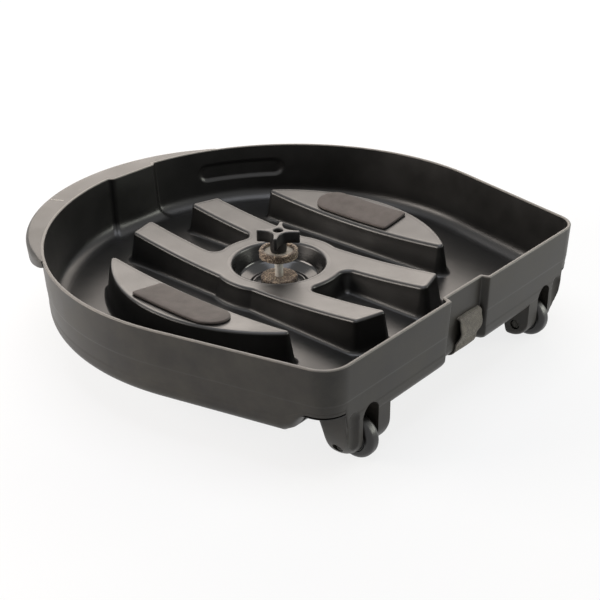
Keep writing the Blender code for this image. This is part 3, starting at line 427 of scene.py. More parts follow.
class Look(Enum):
    """Every finish on the case, each from its real material; some carry painted light and shade."""

    # Rotomoulded polyethylene with a satin skin: broad soft reflections on a warm near-black; painted shade:
    # this inside copy of the moulding is painted far darker than the outside copy
    SHELL_PAINTED_DARKER = Polyethylene(
        "rotomoulded_polyethylene", "141312", "0d0d0c", 0.34, 0.05, 60.0, 0.55, 0.035, ior=1.46, bump=0.35
    )
    # The dish, touched by one felt only, has kept the gloss of the mould: clear reflections in its floor; its
    # colour is the inside's painted-dark copy, painted shade
    DISH = Polyethylene(
        "rotomoulded_polyethylene_dish",
        "141312",
        "0d0d0c",
        0.34,
        0.05,
        60.0,
        0.55,
        0.035,
        ior=1.5,
        bump=0.3,
        polish=0.45,
    )
    # Outside of the same moulding, from the mould's textured half: duller, and painted lighter than the inside
    # copy, as painted light on the outer faces
    OUTSIDE = Polyethylene(
        "rotomoulded_polyethylene_outside_painted_lighter",
        "383631",
        "262422",
        0.42,
        0.05,
        45.0,
        0.7,
        0.05,
        ior=1.36,
        bump=0.4,
    )
    # The trimmed rim, painted pale as a painted highlight along its rounded edge, and dull
    RIM_PAINTED_HIGHLIGHT = Finish("polyethylene_rim_painted_highlight", "6c6862", "514e49", 0.5, 0.06, 12.0, 0.5, 0.03)
    # Trimmed edge of the same moulding, where the mould's halves met: paler and rougher
    SEAM = Finish("polyethylene_parting_edge", "e6e2da", "c9c4ba", 0.6, 0.06, 6.0, 0.4, 0.05)
    # Closed-cell foam: dull brown-grey without a reflection
    FOAM = Foam("closed_cell_foam", "57504c", "4a4440", 0.95, 0.03, 14.0, 0.9, 0.08, sheen=0.1)
    # Pressed wool felt: heathered brown
    FELT = Felt(
        "pressed_wool_felt",
        "5d4c3e",
        "1f1712",
        0.95,
        0.03,
        2.2,
        0.3,
        0.45,
        sheen=0.15,
        bump=1.0,
        fleck="c4b199",
    )
    # Zinc plated steel: cool pale grey metal, slightly cloudy
    ZINC = Finish("zinc_plated_steel", "b9b5aa", "8f8b81", 0.5, 0.08, 4.0, 0.3, 0.01, metallic=1.0)
    # The same plate gone cloudy with oxide: nearly matt
    CLOUDY = Finish("oxidised_zinc_plate", "a7a194", "857f73", 0.62, 0.06, 3.0, 0.3, 0.01, metallic=0.15)
    # Drawn tube: paler and cleaner than the plate, so that it stays light in the dish
    TUBE = Finish("drawn_tube", "f0eee8", "dcd9d1", 0.4, 0.06, 5.0, 0.3, 0.01, metallic=0.35)
    # Blackened steel of the axles' heads and nuts: dark, with a keen highlight
    BLACK = Finish("blackened_steel", "3a3936", "262523", 0.3, 0.08, 3.0, 0.25, 0.01, metallic=1.0)
    # Bright steel: darker, with turning marks
    STEEL = Finish("bright_steel", "a3a29e", "85847f", 0.28, 0.08, 7.0, 0.25, 0.008, metallic=1.0)
    # Turned brass: warm yellow, fine rings from the lathe
    BRASS = Finish(
        "turned_brass", "c9a45c", "a9853f", 0.3, 0.08, 4.0, 0.2, 0.01, metallic=1.0, stretch=(1.0, 1.0, 5.0)
    )
    # Sintered bronze: dull brown metal with oil in its pores
    BRONZE = Finish("sintered_bronze", "8a6a45", "6d5233", 0.5, 0.08, 3.0, 0.3, 0.02, metallic=1.0)
    # Moulded nylon: black with a soft gloss and handling marks
    KNOB = Finish("moulded_nylon", "1c1b1b", "131313", 0.42, 0.08, 9.0, 0.35, 0.012, ior=1.45)
    HUB = Finish("moulded_hub_nylon", "1b1b1b", "121212", 0.34, 0.08, 8.0, 0.35, 0.012, ior=1.53)
    # Solid polyurethane tyre: black satin, dusty on its tread
    TYRE = Finish("polyurethane_tyre", "1b1a19", "111010", 0.36, 0.1, 11.0, 0.5, 0.03, ior=1.5)
    # Polypropylene webbing painted pale as a painted sheen, its weave's troughs painted darker as painted
    # shade
    WEBBING_PAINTED_SHEEN = Webbing(
        "polypropylene_webbing_painted_sheen", "8e877c", "2c2a27", 0.9, 0.02, 5.0, 0.5, 0.3, sheen=0.2, bump=0.9
    )


class Paints:
    """Builds each finish once and hands it out."""

    def __init__(self) -> None:
        """Starts with nothing built."""
        self.made: dict[str, bpy.types.Material] = {}

    def get(self, look: Look) -> bpy.types.Material:
        """The material of a finish.

        Args:
            look: Which finish.

        Returns:
            Its material, built on first use.
        """
        if look.name not in self.made:
            self.made[look.name] = look.value.build()
        return self.made[look.name]

    def dress(self, item: bpy.types.Object, look: Look) -> None:
        """Gives a CAD node or a piece one finish in all its slots.

        Args:
            item: The object.
            look: Its finish.
        """
        material = self.get(look)
        if not item.material_slots:
            item.data.materials.append(material)
        for slot in item.material_slots:
            slot.material = material


@dataclass
class Studio:
    """Pale floor, soft lamps, a white surround and the camera at the photograph's viewing angle."""

    azimuth: float = -48.06
    elevation: float = 27.7
    roll: float = -0.886
    distance: float = 1.168
    target: tuple[float, float, float] = (-0.140611, -0.148668 - MIDDLE_Y, 0.136)
    lens: float = 64.824
    floor_reach: float = 14.0
    floor_colour: str = "f4f4f4"
    world_strength: float = 0.15

    def camera(self) -> None:
        """Places the camera on its line from the target, turned by its roll."""
        az, el, roll = (math.radians(value) for value in (self.azimuth, self.elevation, self.roll))
        back = Vector((math.sin(az) * math.cos(el), -math.cos(az) * math.cos(el), math.sin(el)))
        right = Vector((math.cos(az), math.sin(az), 0.0))
        up = back.cross(right)
        across = right * math.cos(roll) + up * math.sin(roll)
        above = up * math.cos(roll) - right * math.sin(roll)
        data = bpy.data.cameras.new("view")
        data.lens = self.lens
        data.sensor_width = 36.0
        data.clip_end = 60.0
        item = bpy.data.objects.new("view", data)
        turn = Matrix((across, above, back)).transposed()
        item.matrix_world = Matrix.Translation(Vector(self.target) + back * self.distance) @ turn.to_4x4()
        bpy.context.scene.collection.objects.link(item)
        bpy.context.scene.camera = item

    def lamp(
        self, name: str, place: tuple[float, float, float], size: tuple[float, float], watts: float, tint: str
    ) -> None:
        """One soft rectangular lamp aimed at the case.

        Args:
            name: Lamp name.
            place: Where it hangs.
            size: Width and height.
            watts: Power.
            tint: Its colour.
        """
        data = bpy.data.lights.new(name, "AREA")
        data.shape = "RECTANGLE"
        data.size, data.size_y = size
        data.energy = watts
        data.color = srgb(tint)[:3]
        item = bpy.data.objects.new(name, data)
        item.location = place
        item.rotation_euler = (Vector(place) - Vector((0.0, 0.0, 0.08))).to_track_quat("Z", "Y").to_euler()
        bpy.context.scene.collection.objects.link(item)

    def seen(self, tree: bpy.types.NodeTree) -> bpy.types.NodeSocket:
        """One for camera, glossy and transmission rays, else nought.

        Args:
            tree: Node tree that gets the nodes.

        Returns:
            The value.
        """
        path = add(tree, "LightPath")
        first = add(
            tree,
            "Math",
            {0: path.outputs["Is Camera Ray"], 1: path.outputs["Is Glossy Ray"]},
            operation="MAXIMUM",
        )
        both = add(
            tree,
            "Math",
            {0: first.outputs["Value"], 1: path.outputs["Is Transmission Ray"]},
            operation="MAXIMUM",
        )
        return both.outputs["Value"]

    def surround(self) -> None:
        """White world to the eye and in reflections, and a gentler one for lighting."""
        world = bpy.data.worlds.new("surround")
        world.use_nodes = True
        tree = world.node_tree
        level = add(
            tree, "MapRange", {"Value": self.seen(tree), "To Min": self.world_strength, "To Max": 1.0}
        )
        ground = tree.nodes["Background"]
        ground.inputs["Color"].default_value = (1.0, 1.0, 1.0, 1.0)
        tree.links.new(level.outputs["Result"], ground.inputs["Strength"])
        bpy.context.scene.world = world

    def floor(self) -> None:
        """A wide plain floor at the case's feet, nearly white and matt."""
        reach = self.floor_reach
        mesh = bpy.data.meshes.new("floor")
        mesh.from_pydata(
            [(-reach, -reach, 0), (reach, -reach, 0), (reach, reach, 0), (-reach, reach, 0)],
            [],
            [(0, 1, 2, 3)],
        )
        item = bpy.data.objects.new("floor", mesh)
        bpy.context.scene.collection.objects.link(item)
        material = bpy.data.materials.new("studio_floor")
        material.use_nodes = True
        tree = material.node_tree
        shader = tree.nodes["Principled BSDF"]
        shader.inputs["Base Color"].default_value = srgb(self.floor_colour)
        shader.inputs["Roughness"].default_value = 1.0
        shader.inputs["Specular IOR Level"].default_value = 0.0
        # To the eye the floor is white paper, a fifth of it lit by the lamps so that the shadow stays
        glow = add(tree, "Emission", {"Color": (1.0, 1.0, 1.0, 1.0), "Strength": 1.0})
        share = add(tree, "Math", {0: self.seen(tree), 1: 0.8}, operation="MULTIPLY")
        mixed = add(
            tree,
            "MixShader",
            {0: share.outputs["Value"], 1: shader.outputs["BSDF"], 2: glow.outputs["Emission"]},
        )
        tree.links.new(mixed.outputs["Shader"], tree.nodes["Material Output"].inputs["Surface"])
        mesh.materials.append(material)

    def build(self) -> None:
        """Makes the camera first, then the surround, the floor and the lamps."""
        self.camera()
        scene = bpy.context.scene
        scene.view_settings.view_transform = "Standard"
        self.surround()
        self.floor()
        self.lamp("back_panel", (1.35, 1.25, 0.95), (2.4, 1.5), 37.0, "fff2e6")
        self.lamp("overhead", (0.0, 0.0, 1.9), (1.4, 1.4), 18.0, "f2f5ff")
        self.lamp("left_panel", (-1.45, 1.25, 0.7), (1.3, 0.9), 43.0, "fff4ea")
        self.lamp("right_panel", (1.55, -1.6, 0.7), (1.2, 0.8), 24.0, "fdfff2")


def bend(centre: tuple[float, float], radius: float, start: float, end: float, steps: int) -> Points:
    """Points on an arc, both ends included: centre plus radius times the cosine and sine of the angle.

    Args:
        centre: Its centre.
        radius: Its radius.
        start: First angle.
        end: Last angle.
        steps: Number of spans.

    Returns:
        Points in plan, one per row.
    """
    turn = np.linspace(start, end, steps + 1)
    return np.stack((centre[0] + radius * np.cos(turn), centre[1] + radius * np.sin(turn)), -1)


def eased(before: Any, corner: Any, after: Any, cut: float, steps: int = 5) -> Points:
    """A corner rounded by the quadratic curve between the points that lie `cut` from it on its legs.

    Args:
        before: Any point on the leg that comes in.
        corner: The corner.
        after: Any point on the leg that goes out.
        cut: Length taken off each leg.
        steps: Number of spans.

    Returns:
        Points along the curve.
    """
    a, c, b = (np.asarray(value, float) for value in (before, corner, after))
    first = c + (a - c) / np.linalg.norm(a - c) * cut
    last = c + (b - c) / np.linalg.norm(b - c) * cut
    t = np.linspace(0.0, 1.0, steps + 1)[:, None]
    return (1 - t) ** 2 * first + 2 * t * (1 - t) * c + t**2 * last


def line(start: Any, end: Any, steps: int) -> Points:
    """Evenly spaced points on a straight line, both ends included."""
    t = np.linspace(0.0, 1.0, steps + 1)[:, None]
    return (1 - t) * np.asarray(start, float) + t * np.asarray(end, float)


def smooth(value: Points, low: float, high: float) -> Points:
    """Smooth step from nought at `low` to one at `high`: 3 t squared less 2 t cubed."""
    t = np.clip((value - low) / (high - low), 0.0, 1.0)
    return t * t * (3 - 2 * t)


def mirrored(half: Points) -> Points:
    """Closed loop from its right half, which starts and ends on x = 0."""
    return np.concatenate((half, half[-2:0:-1] * (-1.0, 1.0)))


def inside(points: Points, loop: Points) -> Points:
    """Which points lie inside a closed loop, by the parity of the loop's crossings of a ray along +X.

    Args:
        points: Points to test.
        loop: The loop, not repeated at its end.

    Returns:
        A truth value for each point.
    """
    ax, ay = loop[:, 0], loop[:, 1]
    bx, by = np.roll(ax, -1), np.roll(ay, -1)
    px, py = points[:, :1], points[:, 1:2]
    spans = (ay > py) != (by > py)
    rise = np.where(by == ay, 1.0, by - ay)
    cross = ax + (py - ay) / rise * (bx - ax)
    return (np.sum(spans & (px < cross), axis=1) % 2) == 1


class Skin:
    """Gathers patches of surface and makes one merged, smooth-shaded object of them."""

    def __init__(self) -> None:
        """Starts with no patch."""
        self.points: list[Points] = []
        self.faces: list[tuple[int, ...]] = []
        self.count = 0

    def push(self, points: Points, faces: Points) -> None:
        """Adds a patch.

        Args:
            points: Its points.
            faces: Its faces, as numbers of its own points.
        """
        self.points.append(points)
        self.faces += [tuple(face) for face in (faces + self.count).tolist()]
        self.count += len(points)

    def rows(self, grid: Points, closed: bool = True, flip: bool = False) -> None:
        """Adds quads between neighbouring rows of a grid; their normal is column step times row step.

        Args:
            grid: Points by row and column.
            closed: Whether each row runs round into itself.
            flip: Turns the faces over.
        """
        high, wide = grid.shape[:2]
        ids = np.arange(high * wide).reshape(high, wide)
        if closed:
            ids = np.concatenate((ids, ids[:, :1]), 1)
        quads = np.stack((ids[:-1, :-1], ids[:-1, 1:], ids[1:, 1:], ids[1:, :-1]), -1).reshape(-1, 4)
        self.push(grid.reshape(-1, 3), quads[:, ::-1] if flip else quads)

    def fill(
        self, loops: list[Points], height: Callable[[Points], Points], space: float = 0.02, flip: bool = False
    ) -> None:
        """Fills the plan region inside the first loop and outside the others with triangles.

        Args:
            loops: Outer loop, then the holes.
            height: Height of the surface over plan points.
            space: Spacing of the points inside.
            flip: Faces down instead of up.
        """
        edges, flat, count = [], [], 0
        for loop in loops:
            ids = np.arange(len(loop)) + count
            edges += np.stack((ids, np.roll(ids, -1)), -1).tolist()
            flat.append(loop)
            count += len(loop)
        bounds = np.concatenate(flat)
        low, high = bounds.min(0), bounds.max(0)
        mesh = np.meshgrid(np.arange(low[0], high[0], space), np.arange(low[1], high[1], space))
        spots = np.stack(mesh, -1).reshape(-1, 2)
        near = np.min(np.hypot(*(spots[:, None] - bounds[None]).transpose(2, 0, 1)), axis=1)
        spots = spots[near > 0.6 * space]
        spots = spots[self.within(spots, loops)]
        places = np.concatenate((bounds, spots))
        done = delaunay_2d_cdt([Vector(place) for place in places.tolist()], edges, [], 0, 1.0e-7, False)
        plan = np.array([tuple(place) for place in done[0]])
        faces = np.array([face for face in done[2] if len(face) == 3])
        faces = faces[self.within(plan[faces].mean(1), loops)]
        area = np.cross(plan[faces[:, 1]] - plan[faces[:, 0]], plan[faces[:, 2]] - plan[faces[:, 0]])
        # Slivers between points in one line would turn the shading round them
        faces, area = faces[np.abs(area) > 4.0e-9], area[np.abs(area) > 4.0e-9]
        faces = np.where((area < 0)[:, None] != flip, faces[:, ::-1], faces)
        self.push(np.concatenate((plan, height(plan)[:, None]), 1), faces)

    def within(self, points: Points, loops: list[Points]) -> Points:
        """Which points lie inside the first loop and outside the others.

        Args:
            points: Points to test.
            loops: Outer loop, then the holes.

        Returns:
            A truth value for each point.
        """
        good = inside(points, loops[0])
        for hole in loops[1:]:
            good &= ~inside(points, hole)
        return good

    def build(
        self, name: str, paints: Paints, look: Look, angle: float = 40.0, shift: bool = True
    ) -> bpy.types.Object:
        """Makes the object, with doubles merged and edges sharper than `angle` left sharp.

        Args:
            name: Name of the piece.
            paints: The finishes.
            look: Its finish.
            angle: Smoothing angle in degrees.
            shift: Moves plan coordinates to the frame's.

        Returns:
            The object.
        """
        points = np.concatenate(self.points)
        if shift:
            points = points - (0.0, MIDDLE_Y, 0.0)
        mesh = bpy.data.meshes.new(name)
        mesh.from_pydata(points.tolist(), [], self.faces)
        work = bmesh.new()
        work.from_mesh(mesh)
        bmesh.ops.remove_doubles(work, verts=work.verts, dist=2.0e-6)
        bmesh.ops.dissolve_degenerate(work, edges=work.edges, dist=1.0e-7)
        work.to_mesh(mesh)
        work.free()
        mesh.shade_smooth()
        mesh.set_sharp_from_angle(angle=math.radians(angle))
        item = bpy.data.objects.new(name, mesh)
        bpy.context.scene.collection.objects.link(item)
        paints.dress(item, look)
        LOG.info("%s: %d faces", name, len(mesh.polygons))
        return item


def spin(profile: Points, middle: tuple[float, float], steps: int = 96) -> Points:
    """Surface of revolution: each profile point carried round an upright axis.

    Args:
        profile: Radius and height of each point.
        middle: Plan place of the axis.
        steps: Number of spans round the axis.

    Returns:
        Grid of points, a row for each profile point.
    """
    turn = np.linspace(0.0, 2 * np.pi, steps, endpoint=False)
    radius, height = profile[:, :1], profile[:, 1:2]
    return np.stack(
        (middle[0] + radius * np.cos(turn), middle[1] + radius * np.sin(turn), height + 0 * turn), -1
    )


@dataclass
class Shell:
    """The one-piece moulding: tray, cradle, dish, lands, wheel housings, feet and grip."""

    rim_radius: float = 0.300
    flat: float = 0.2756
    flat_half: float = 0.2367
    corner_radius: float = 0.034
    base: float = 0.050
    floor: float = 0.054
    rim: float = 0.136
    wall: float = 0.004
    draft: float = 0.003
    bottom_round: float = 0.012
    cove: float = 0.018
    groove_half: float = 0.0375
    groove_depth: float = 0.009
    groove_flank: float = 0.003
    rim_edge: float = 0.0012
    post_y: float = POST_Y
    bow_radius: float = 1.350
    bow: float = 0.079
    edge: float = 0.0045
    taper: float = 0.0065
    foot_spread: float = 0.0105
    cradle_radius: float = 0.207
    bar_inner: float = 0.036
    bar_outer: float = 0.080
    bar_corner: float = 0.007
    ring: float = 0.085
    web: float = 0.012
    dish: float = 0.0595
    dish_floor: float = 0.051
    chord: float = 0.143
    land_radius: float = 0.213
    blunt: float = 0.006
    sharp: float = 0.0055
    slot_x: float = 0.172
    slot_half: float = 0.013
    slot_back: float = -0.226
    spring: float = 0.059
    relief_x: float = 0.213
    relief_top: float = 0.0765
    roof: float = 0.0774
    notch_from: float = -0.217
    notch_to: float = -0.247
    well_back: float = -0.2155
    flute_x: float = 0.201
    flute_y: float = -0.2804
    flute: float = 0.012
    slot_front: float = -0.31
    slot_open: float = -0.26
    front_only: float = -0.25
    wheel_side: float = 0.1589
    well_side: float = 0.158
    well_top: float = 0.078
    relief_in: float = 0.205
    relief_slot: float = 0.196
    housing_top: float = 0.0772
    # Radius and both ends along X of the axle's bore, the recess of its head and that of its nut
    bores: tuple[tuple[float, float, float], ...] = (
        (0.0033, 0.13, 0.22), (0.0058, 0.199, 0.22), (0.0064, 0.13, 0.146)
    )
    # Pockets: middles and half width in degrees, then lengths
    pocket_middles: tuple[float, float] = (34.5, -72.0)
    pocket_half: float = 12.5
    pocket_round: float = 2.6
    pocket_radius: float = 0.296
    pocket_z: float = 0.1015
    pocket_flat: float = 0.0085
    pocket_edge: float = 0.0145
    pocket_depth: float = 0.0028
    # The ledge where the mould's halves met, and the height up to which a cut-away lifts the wall's foot
    parting: float = 0.0942
    ledge: float = 0.00035
    ledge_run: float = 0.0024
    ledge_end: float = 0.07
    lift_to: float = 0.0905
    # Islands: foot and height from which their flanks rise, and the sink inside their bead
    flank_foot: float = 0.0046
    flank_base: float = 0.052
    bead_sink: float = 0.00022
    hollow_mouth: float = 0.0069
    floor_hole: float = 0.078
    # The dish: corner under its wall, foot of its cone, hole for the post, ring in its floor, underside
    dish_bend: tuple[float, float] = (0.0524, 0.0575)
    cone_foot: float = 0.0385
    post_hole: float = 0.0044
    ridge: float = 0.0345
    ridge_width: float = 0.0007
    ridge_height: float = 0.0005
    cup_foot: float = 0.0510
    cup_under: float = 0.047
    # The grip and the flash on it: lengths, and angles in degrees from +Y
    grip_reach: float = 0.032
    grip_height: float = 0.030
    grip_middle: float = 16.5
    grip_half: float = 44.5
    flash_turn: float = 25.1
    foot_x: float = 0.125
    foot_y: float = 0.190

    def __post_init__(self) -> None:
        """Works out how far the straight sides lean."""
        reach = math.hypot(self.flat_half, self.flat)
        self.lean = math.acos(self.rim_radius / reach) - math.atan2(self.flat, self.flat_half)

    def drawn(self, height: Points | float) -> Any:
        """How far the drafted wall has drawn in at a height."""
        return self.draft * (self.rim - height) / (self.rim - self.base)

    def outline(self, inset: float) -> Points:
        """Plan of the tray drawn in by `inset`: flat, corners, leaning straight sides, round end, grooves.

        Args:
            inset: Distance inside the outer edge of the rim.

        Returns:
            Closed loop, anticlockwise from the middle of the flat.
        """
        radius = self.rim_radius - inset
        corner = max(self.corner_radius - inset, 0.002)
        sink = self.corner_radius if inset < self.corner_radius else inset + corner
        mid_y = -self.flat + sink
        mid_x = (self.rim_radius - sink - mid_y * math.sin(self.lean)) / math.cos(self.lean)
        flank = math.atan2(self.groove_flank, self.groove_depth)
        spread = inset * (1.0 - math.sin(flank)) / math.cos(flank)
        mouth, foot = self.groove_half + spread, self.groove_half - self.groove_flank + spread
        low = -self.flat + inset
        # The inner faces turn into the grooves more gently than the outer ones
        cut = 0.0016 + 0.0026 * float(smooth(np.array(inset), 0.0030, 0.0042))
        across = np.concatenate((
            np.linspace(mouth + cut, 0.1585, 26)[1:], [0.1588, 0.1592], np.linspace(0.1600, 0.1840, 13),
            [0.1848, 0.1852], np.linspace(0.1865, 0.2095, 20),
        ))
        turned = bend((mid_x, mid_y), corner, -math.pi / 2, self.lean, 16)
        start = radius * np.array((math.cos(self.lean), math.sin(self.lean)))
        mark = (self.slot_back - turned[-1, 1]) / (start[1] - turned[-1, 1])
        share = np.concatenate(
            (np.linspace(0, mark - 0.002, 16)[1:], np.linspace(mark + 0.002, 1, 18)[:-1])
        )[:, None]
        opening = math.asin(mouth / radius)
        top = math.pi / 2
        tip = radius * np.array((math.sin(opening), math.cos(opening)))
        half = np.concatenate((
            line((0.0, low + self.groove_depth), (foot - cut, low + self.groove_depth), 8)[:-1],
            eased((0, low + self.groove_depth), (foot, low + self.groove_depth), (mouth, low), cut),
            eased((foot, low + self.groove_depth), (mouth, low), (1, low), cut),
            np.stack((across, 0 * across + low), -1),
            turned,
            (1 - share) * turned[-1] + share * start,
            bend((0, 0), radius, self.lean, top - opening - cut / radius, 200)[:-1],
            eased(
                bend((0, 0), radius, top - opening - 0.01, 0, 1)[0],
                tip,
                (foot, radius - self.groove_depth),
                cut,
            ),
            eased(tip, (foot, radius - self.groove_depth), (0, radius - self.groove_depth), cut),
            line((foot - cut, radius - self.groove_depth), (0.0, radius - self.groove_depth), 8)[1:],
        ))
        return mirrored(half)

    def lowest(self, plan: Points) -> Points:
        """Height at which the outer wall ends: the slots' arches and the corner reliefs, else the base.

        Args:
            plan: Points of the wall in plan.

        Returns:
            A height for each point.
        """
        x, y = np.abs(plan[:, 0]), plan[:, 1]
        arch = self.spring + np.sqrt(np.maximum(self.slot_half**2 - (x - self.slot_x) ** 2, 0.0))
        end = np.where((np.abs(x - self.slot_x) < self.slot_half) & (y < self.slot_open), arch, self.base)
        return np.where(x > self.relief_x, self.notch(y), end)

    def notch(self, y: Points) -> Points:
        """Height of a corner's cut-away: a smooth step from the base up, along -Y."""
        return self.base + (self.relief_top - self.base) * smooth(-y, -self.notch_from, -self.notch_to)

    def pocket(self, plan: Points, height: float) -> Points:
        """Depth of the oval pockets in the inner wall: one minus a smooth step over the distance to a line.

        Args:
            plan: Points of the inner face in plan.
            height: Their height.

        Returns:
            How far each point is pushed outwards.
        """
        turn = np.degrees(np.arctan2(plan[:, 0], plan[:, 1]))
        depth = np.zeros(len(plan))
        degree = math.radians(self.pocket_radius)
        for middle in self.pocket_middles:
            along = np.abs(turn - middle) * degree - degree * (self.pocket_half - self.pocket_round)
            away = np.hypot(np.maximum(along, 0.0), height - self.pocket_z)
            depth = np.maximum(depth, 1 - smooth(away, self.pocket_flat, self.pocket_edge))
        return depth * self.pocket_depth

    def walls(self, inside: Skin, edge: Skin, outside: Skin) -> None:
        """Sweeps the wall's section round the outline, from the cove over the rim to the underside.

        Args:
            inside: Gets the cove and the inner face.
            edge: Gets the rim's rounded edge.
            outside: Gets the outer face, down to the base.
        """
        rows: list[Points] = []
        for turn in np.linspace(0, math.pi / 2, 9):
            z = self.floor + self.cove * (1 - math.cos(turn))
            plan = self.outline(self.wall + self.drawn(z) + self.cove * (1 - math.sin(turn)))
            rows.append(np.column_stack((plan, np.maximum(z, self.over_wheels(plan)))))
        # The rows lie close together over the pockets, and further down over the parting ledge
        inner = np.concatenate((
            np.arange(0.0745, 0.084, 0.003),
            np.arange(0.0845, 0.1195, 0.00125),
            np.arange(0.121, 0.134, 0.004),
            [self.rim - self.rim_edge],
        ))
        for z in inner:
            plan = self.outline(self.wall + self.drawn(z))
            push = self.pocket(plan, z)[:, None]
            plan = plan + plan / np.linalg.norm(plan, axis=1, keepdims=True) * push
            rows.append(np.column_stack((plan, np.maximum(z, self.over_wheels(plan)))))
        first = len(rows) - 1
        for start, side in ((0.0, -1.0), (math.pi / 2, 1.0)):
            for turn in np.linspace(start, start + math.pi / 2, 5):
                centre = self.wall - self.rim_edge if side < 0 else self.rim_edge
                plan = self.outline(centre + self.rim_edge * math.cos(turn))
                z = self.rim - self.rim_edge + self.rim_edge * math.sin(turn)
                rows.append(np.column_stack((plan, np.full(len(plan), z))))
        last = len(rows) - 1
        low = self.lowest(self.outline(0.0))
        outer = np.concatenate(
            (
                np.arange(0.1325, 0.096, -0.005),
                [0.0945, 0.0938, 0.0930, 0.0922, 0.0915],
                np.arange(0.0895, 0.0795, -0.003),
                np.arange(0.0788, 0.0622, -0.0013),
            )
        )
        steps = [(float(z), self.drawn(z)) for z in outer]
        for turn in np.linspace(math.pi / 2, 0, 9):
            z = self.base + self.bottom_round * (1 - math.cos(turn))
            steps.append((z, self.drawn(z) + self.bottom_round * (1 - math.sin(turn))))
        steps.append((self.base, self.draft + self.bottom_round + 0.006))
        for z, inset in steps:
            ledge = self.ledge * float(smooth(np.array(self.parting - z), 0.0, self.ledge_run))
            plan = self.outline(inset + ledge - self.ledge * (z < self.ledge_end))
            bite = self.flute * math.sqrt(max(1 - max((z - self.relief_top) / self.flute + 1, 0.0) ** 2, 0.0))
            away = np.abs(np.abs(plan[:, 0]) - self.flute_x)
            dent = self.flute_y + np.sqrt(np.maximum(bite**2 - away**2, 0.0))
            carve = (away < bite) & (plan[:, 1] < self.front_only) & (plan[:, 1] < dent)
            plan[:, 1] = np.where(carve, dent, plan[:, 1])
            # Where the foot is cut away, what lies under the parting line moves up and keeps its rounding
            follow = z + (low - self.base) * np.clip(
                (self.lift_to - z) / (self.lift_to - self.base), 0.0, 1.0
            )
            height = np.where(np.abs(plan[:, 0]) > self.relief_x, follow, np.maximum(z, low))
            rows.append(np.column_stack((plan, height)))
        inside.rows(np.stack(rows[:first + 1]), flip=True)
        edge.rows(np.stack(rows[first:last + 1]), flip=True)
        outside.rows(np.stack(rows[last:]), flip=True)

    def over_wheels(self, plan: Points) -> Points:
        """Least height of the inner faces: they stop above the slots and the cut-away corners."""
        over = (np.abs(plan[:, 0]) > self.wheel_side) & (plan[:, 1] < self.notch_from - 0.0005)
        return np.where(over, self.roof, 0.0)

    def deck(self) -> Points:
        """Plan of the tray's floor: the foot of the cove, less the two corners over the wheels.

        Returns:
            Closed loop, anticlockwise from the middle of the flat.
        """
        loop = self.outline(self.wall + self.drawn(self.floor) + self.cove)
        back = self.notch_from - 0.001
        right = (loop[:, 0] > self.well_side) & (loop[:, 1] < back)
        left = (loop[:, 0] < -self.well_side) & (loop[:, 1] < back)
        first, last = np.flatnonzero(right)[[0, -1]]
        side = (float(loop[last + 1, 0]), back)
        front = (self.well_side, float(loop[first, 1]))
        step = np.array((front, (self.well_side, back), side))
        keep = loop[last + 1:np.flatnonzero(left)[0]]
        rest = loop[np.flatnonzero(left)[-1] + 1:]
        return np.concatenate((loop[:first], step, keep, step[::-1] * (-1.0, 1.0), rest))

    def bowed(self, plan: Points, drop: float = 0.0) -> Points:
        """Height of the bowed top: a shallow sphere, lowest at the post, less `drop`."""
        reach = plan[:, 0] ** 2 + (plan[:, 1] - self.post_y) ** 2
        return self.bow + self.bow_radius - np.sqrt(self.bow_radius**2 - reach) - drop

    def bars(self, inset: float) -> Points:
        """Plan of the H of two bars and a ring, drawn in by `inset`, with fillets where they meet.

        The fillet circles keep their centres, which lie `web` outside both curves, and their radius grows
        with the inset.

        Args:
            inset: Distance inside the outline of the flank's top.

        Returns:
            Closed loop, anticlockwise.
        """
        ring, web = self.ring, self.web
        outer_y = math.sqrt((ring + web) ** 2 - (self.bar_outer + web) ** 2)
        inner_y = math.sqrt((ring + web) ** 2 - (self.bar_inner - web) ** 2)
        first = math.atan2(outer_y, self.bar_outer + web)
        second = math.atan2(inner_y, self.bar_inner - web)
        ends = [math.sqrt(self.cradle_radius**2 - x * x) for x in (self.bar_outer, self.bar_inner)]
        slope = math.atan2(self.bar_outer - self.bar_inner, ends[1] - ends[0])
        normal = np.array((math.cos(slope), math.sin(slope)))
        reach = float(normal @ (self.bar_outer, ends[0]))
        corner = max(self.bar_corner - inset, 0.001)
        sunk = inset + corner
        centres = []
        for x in (self.bar_outer - sunk, self.bar_inner + sunk):
            centres.append((x, (reach - sunk - normal[0] * x) / normal[1]))
        far, near = self.bar_outer - inset, self.bar_inner + inset
        quarter = np.concatenate((
            bend((0, 0), ring - inset, 0.0, first, 8)[:-1],
            bend((self.bar_outer + web, outer_y), web + inset, math.pi + first, math.pi, 6)[:-1],
            line((far, outer_y), (far, centres[0][1]), 28)[:-1],
            bend(centres[0], corner, 0.0, slope, 6),
            line(np.add(centres[0], corner * normal), np.add(centres[1], corner * normal), 6)[1:-1],
            bend(centres[1], corner, slope, math.pi, 7),
            line((near, centres[1][1]), (near, inner_y), 20)[1:-1],
            bend((self.bar_inner - web, inner_y), web + inset, 0.0, second - math.pi, 14),
            bend((0, 0), ring - inset, second, math.pi / 2, 6)[1:],
        ))
        # The quarter runs from +X to +Y about the post; three mirrored copies close the loop
        upper = np.concatenate((quarter, quarter[-2::-1] * (-1.0, 1.0)))
        loop = np.concatenate((upper, upper[-2:0:-1] * (1.0, -1.0)))
        return loop + (0.0, self.post_y)

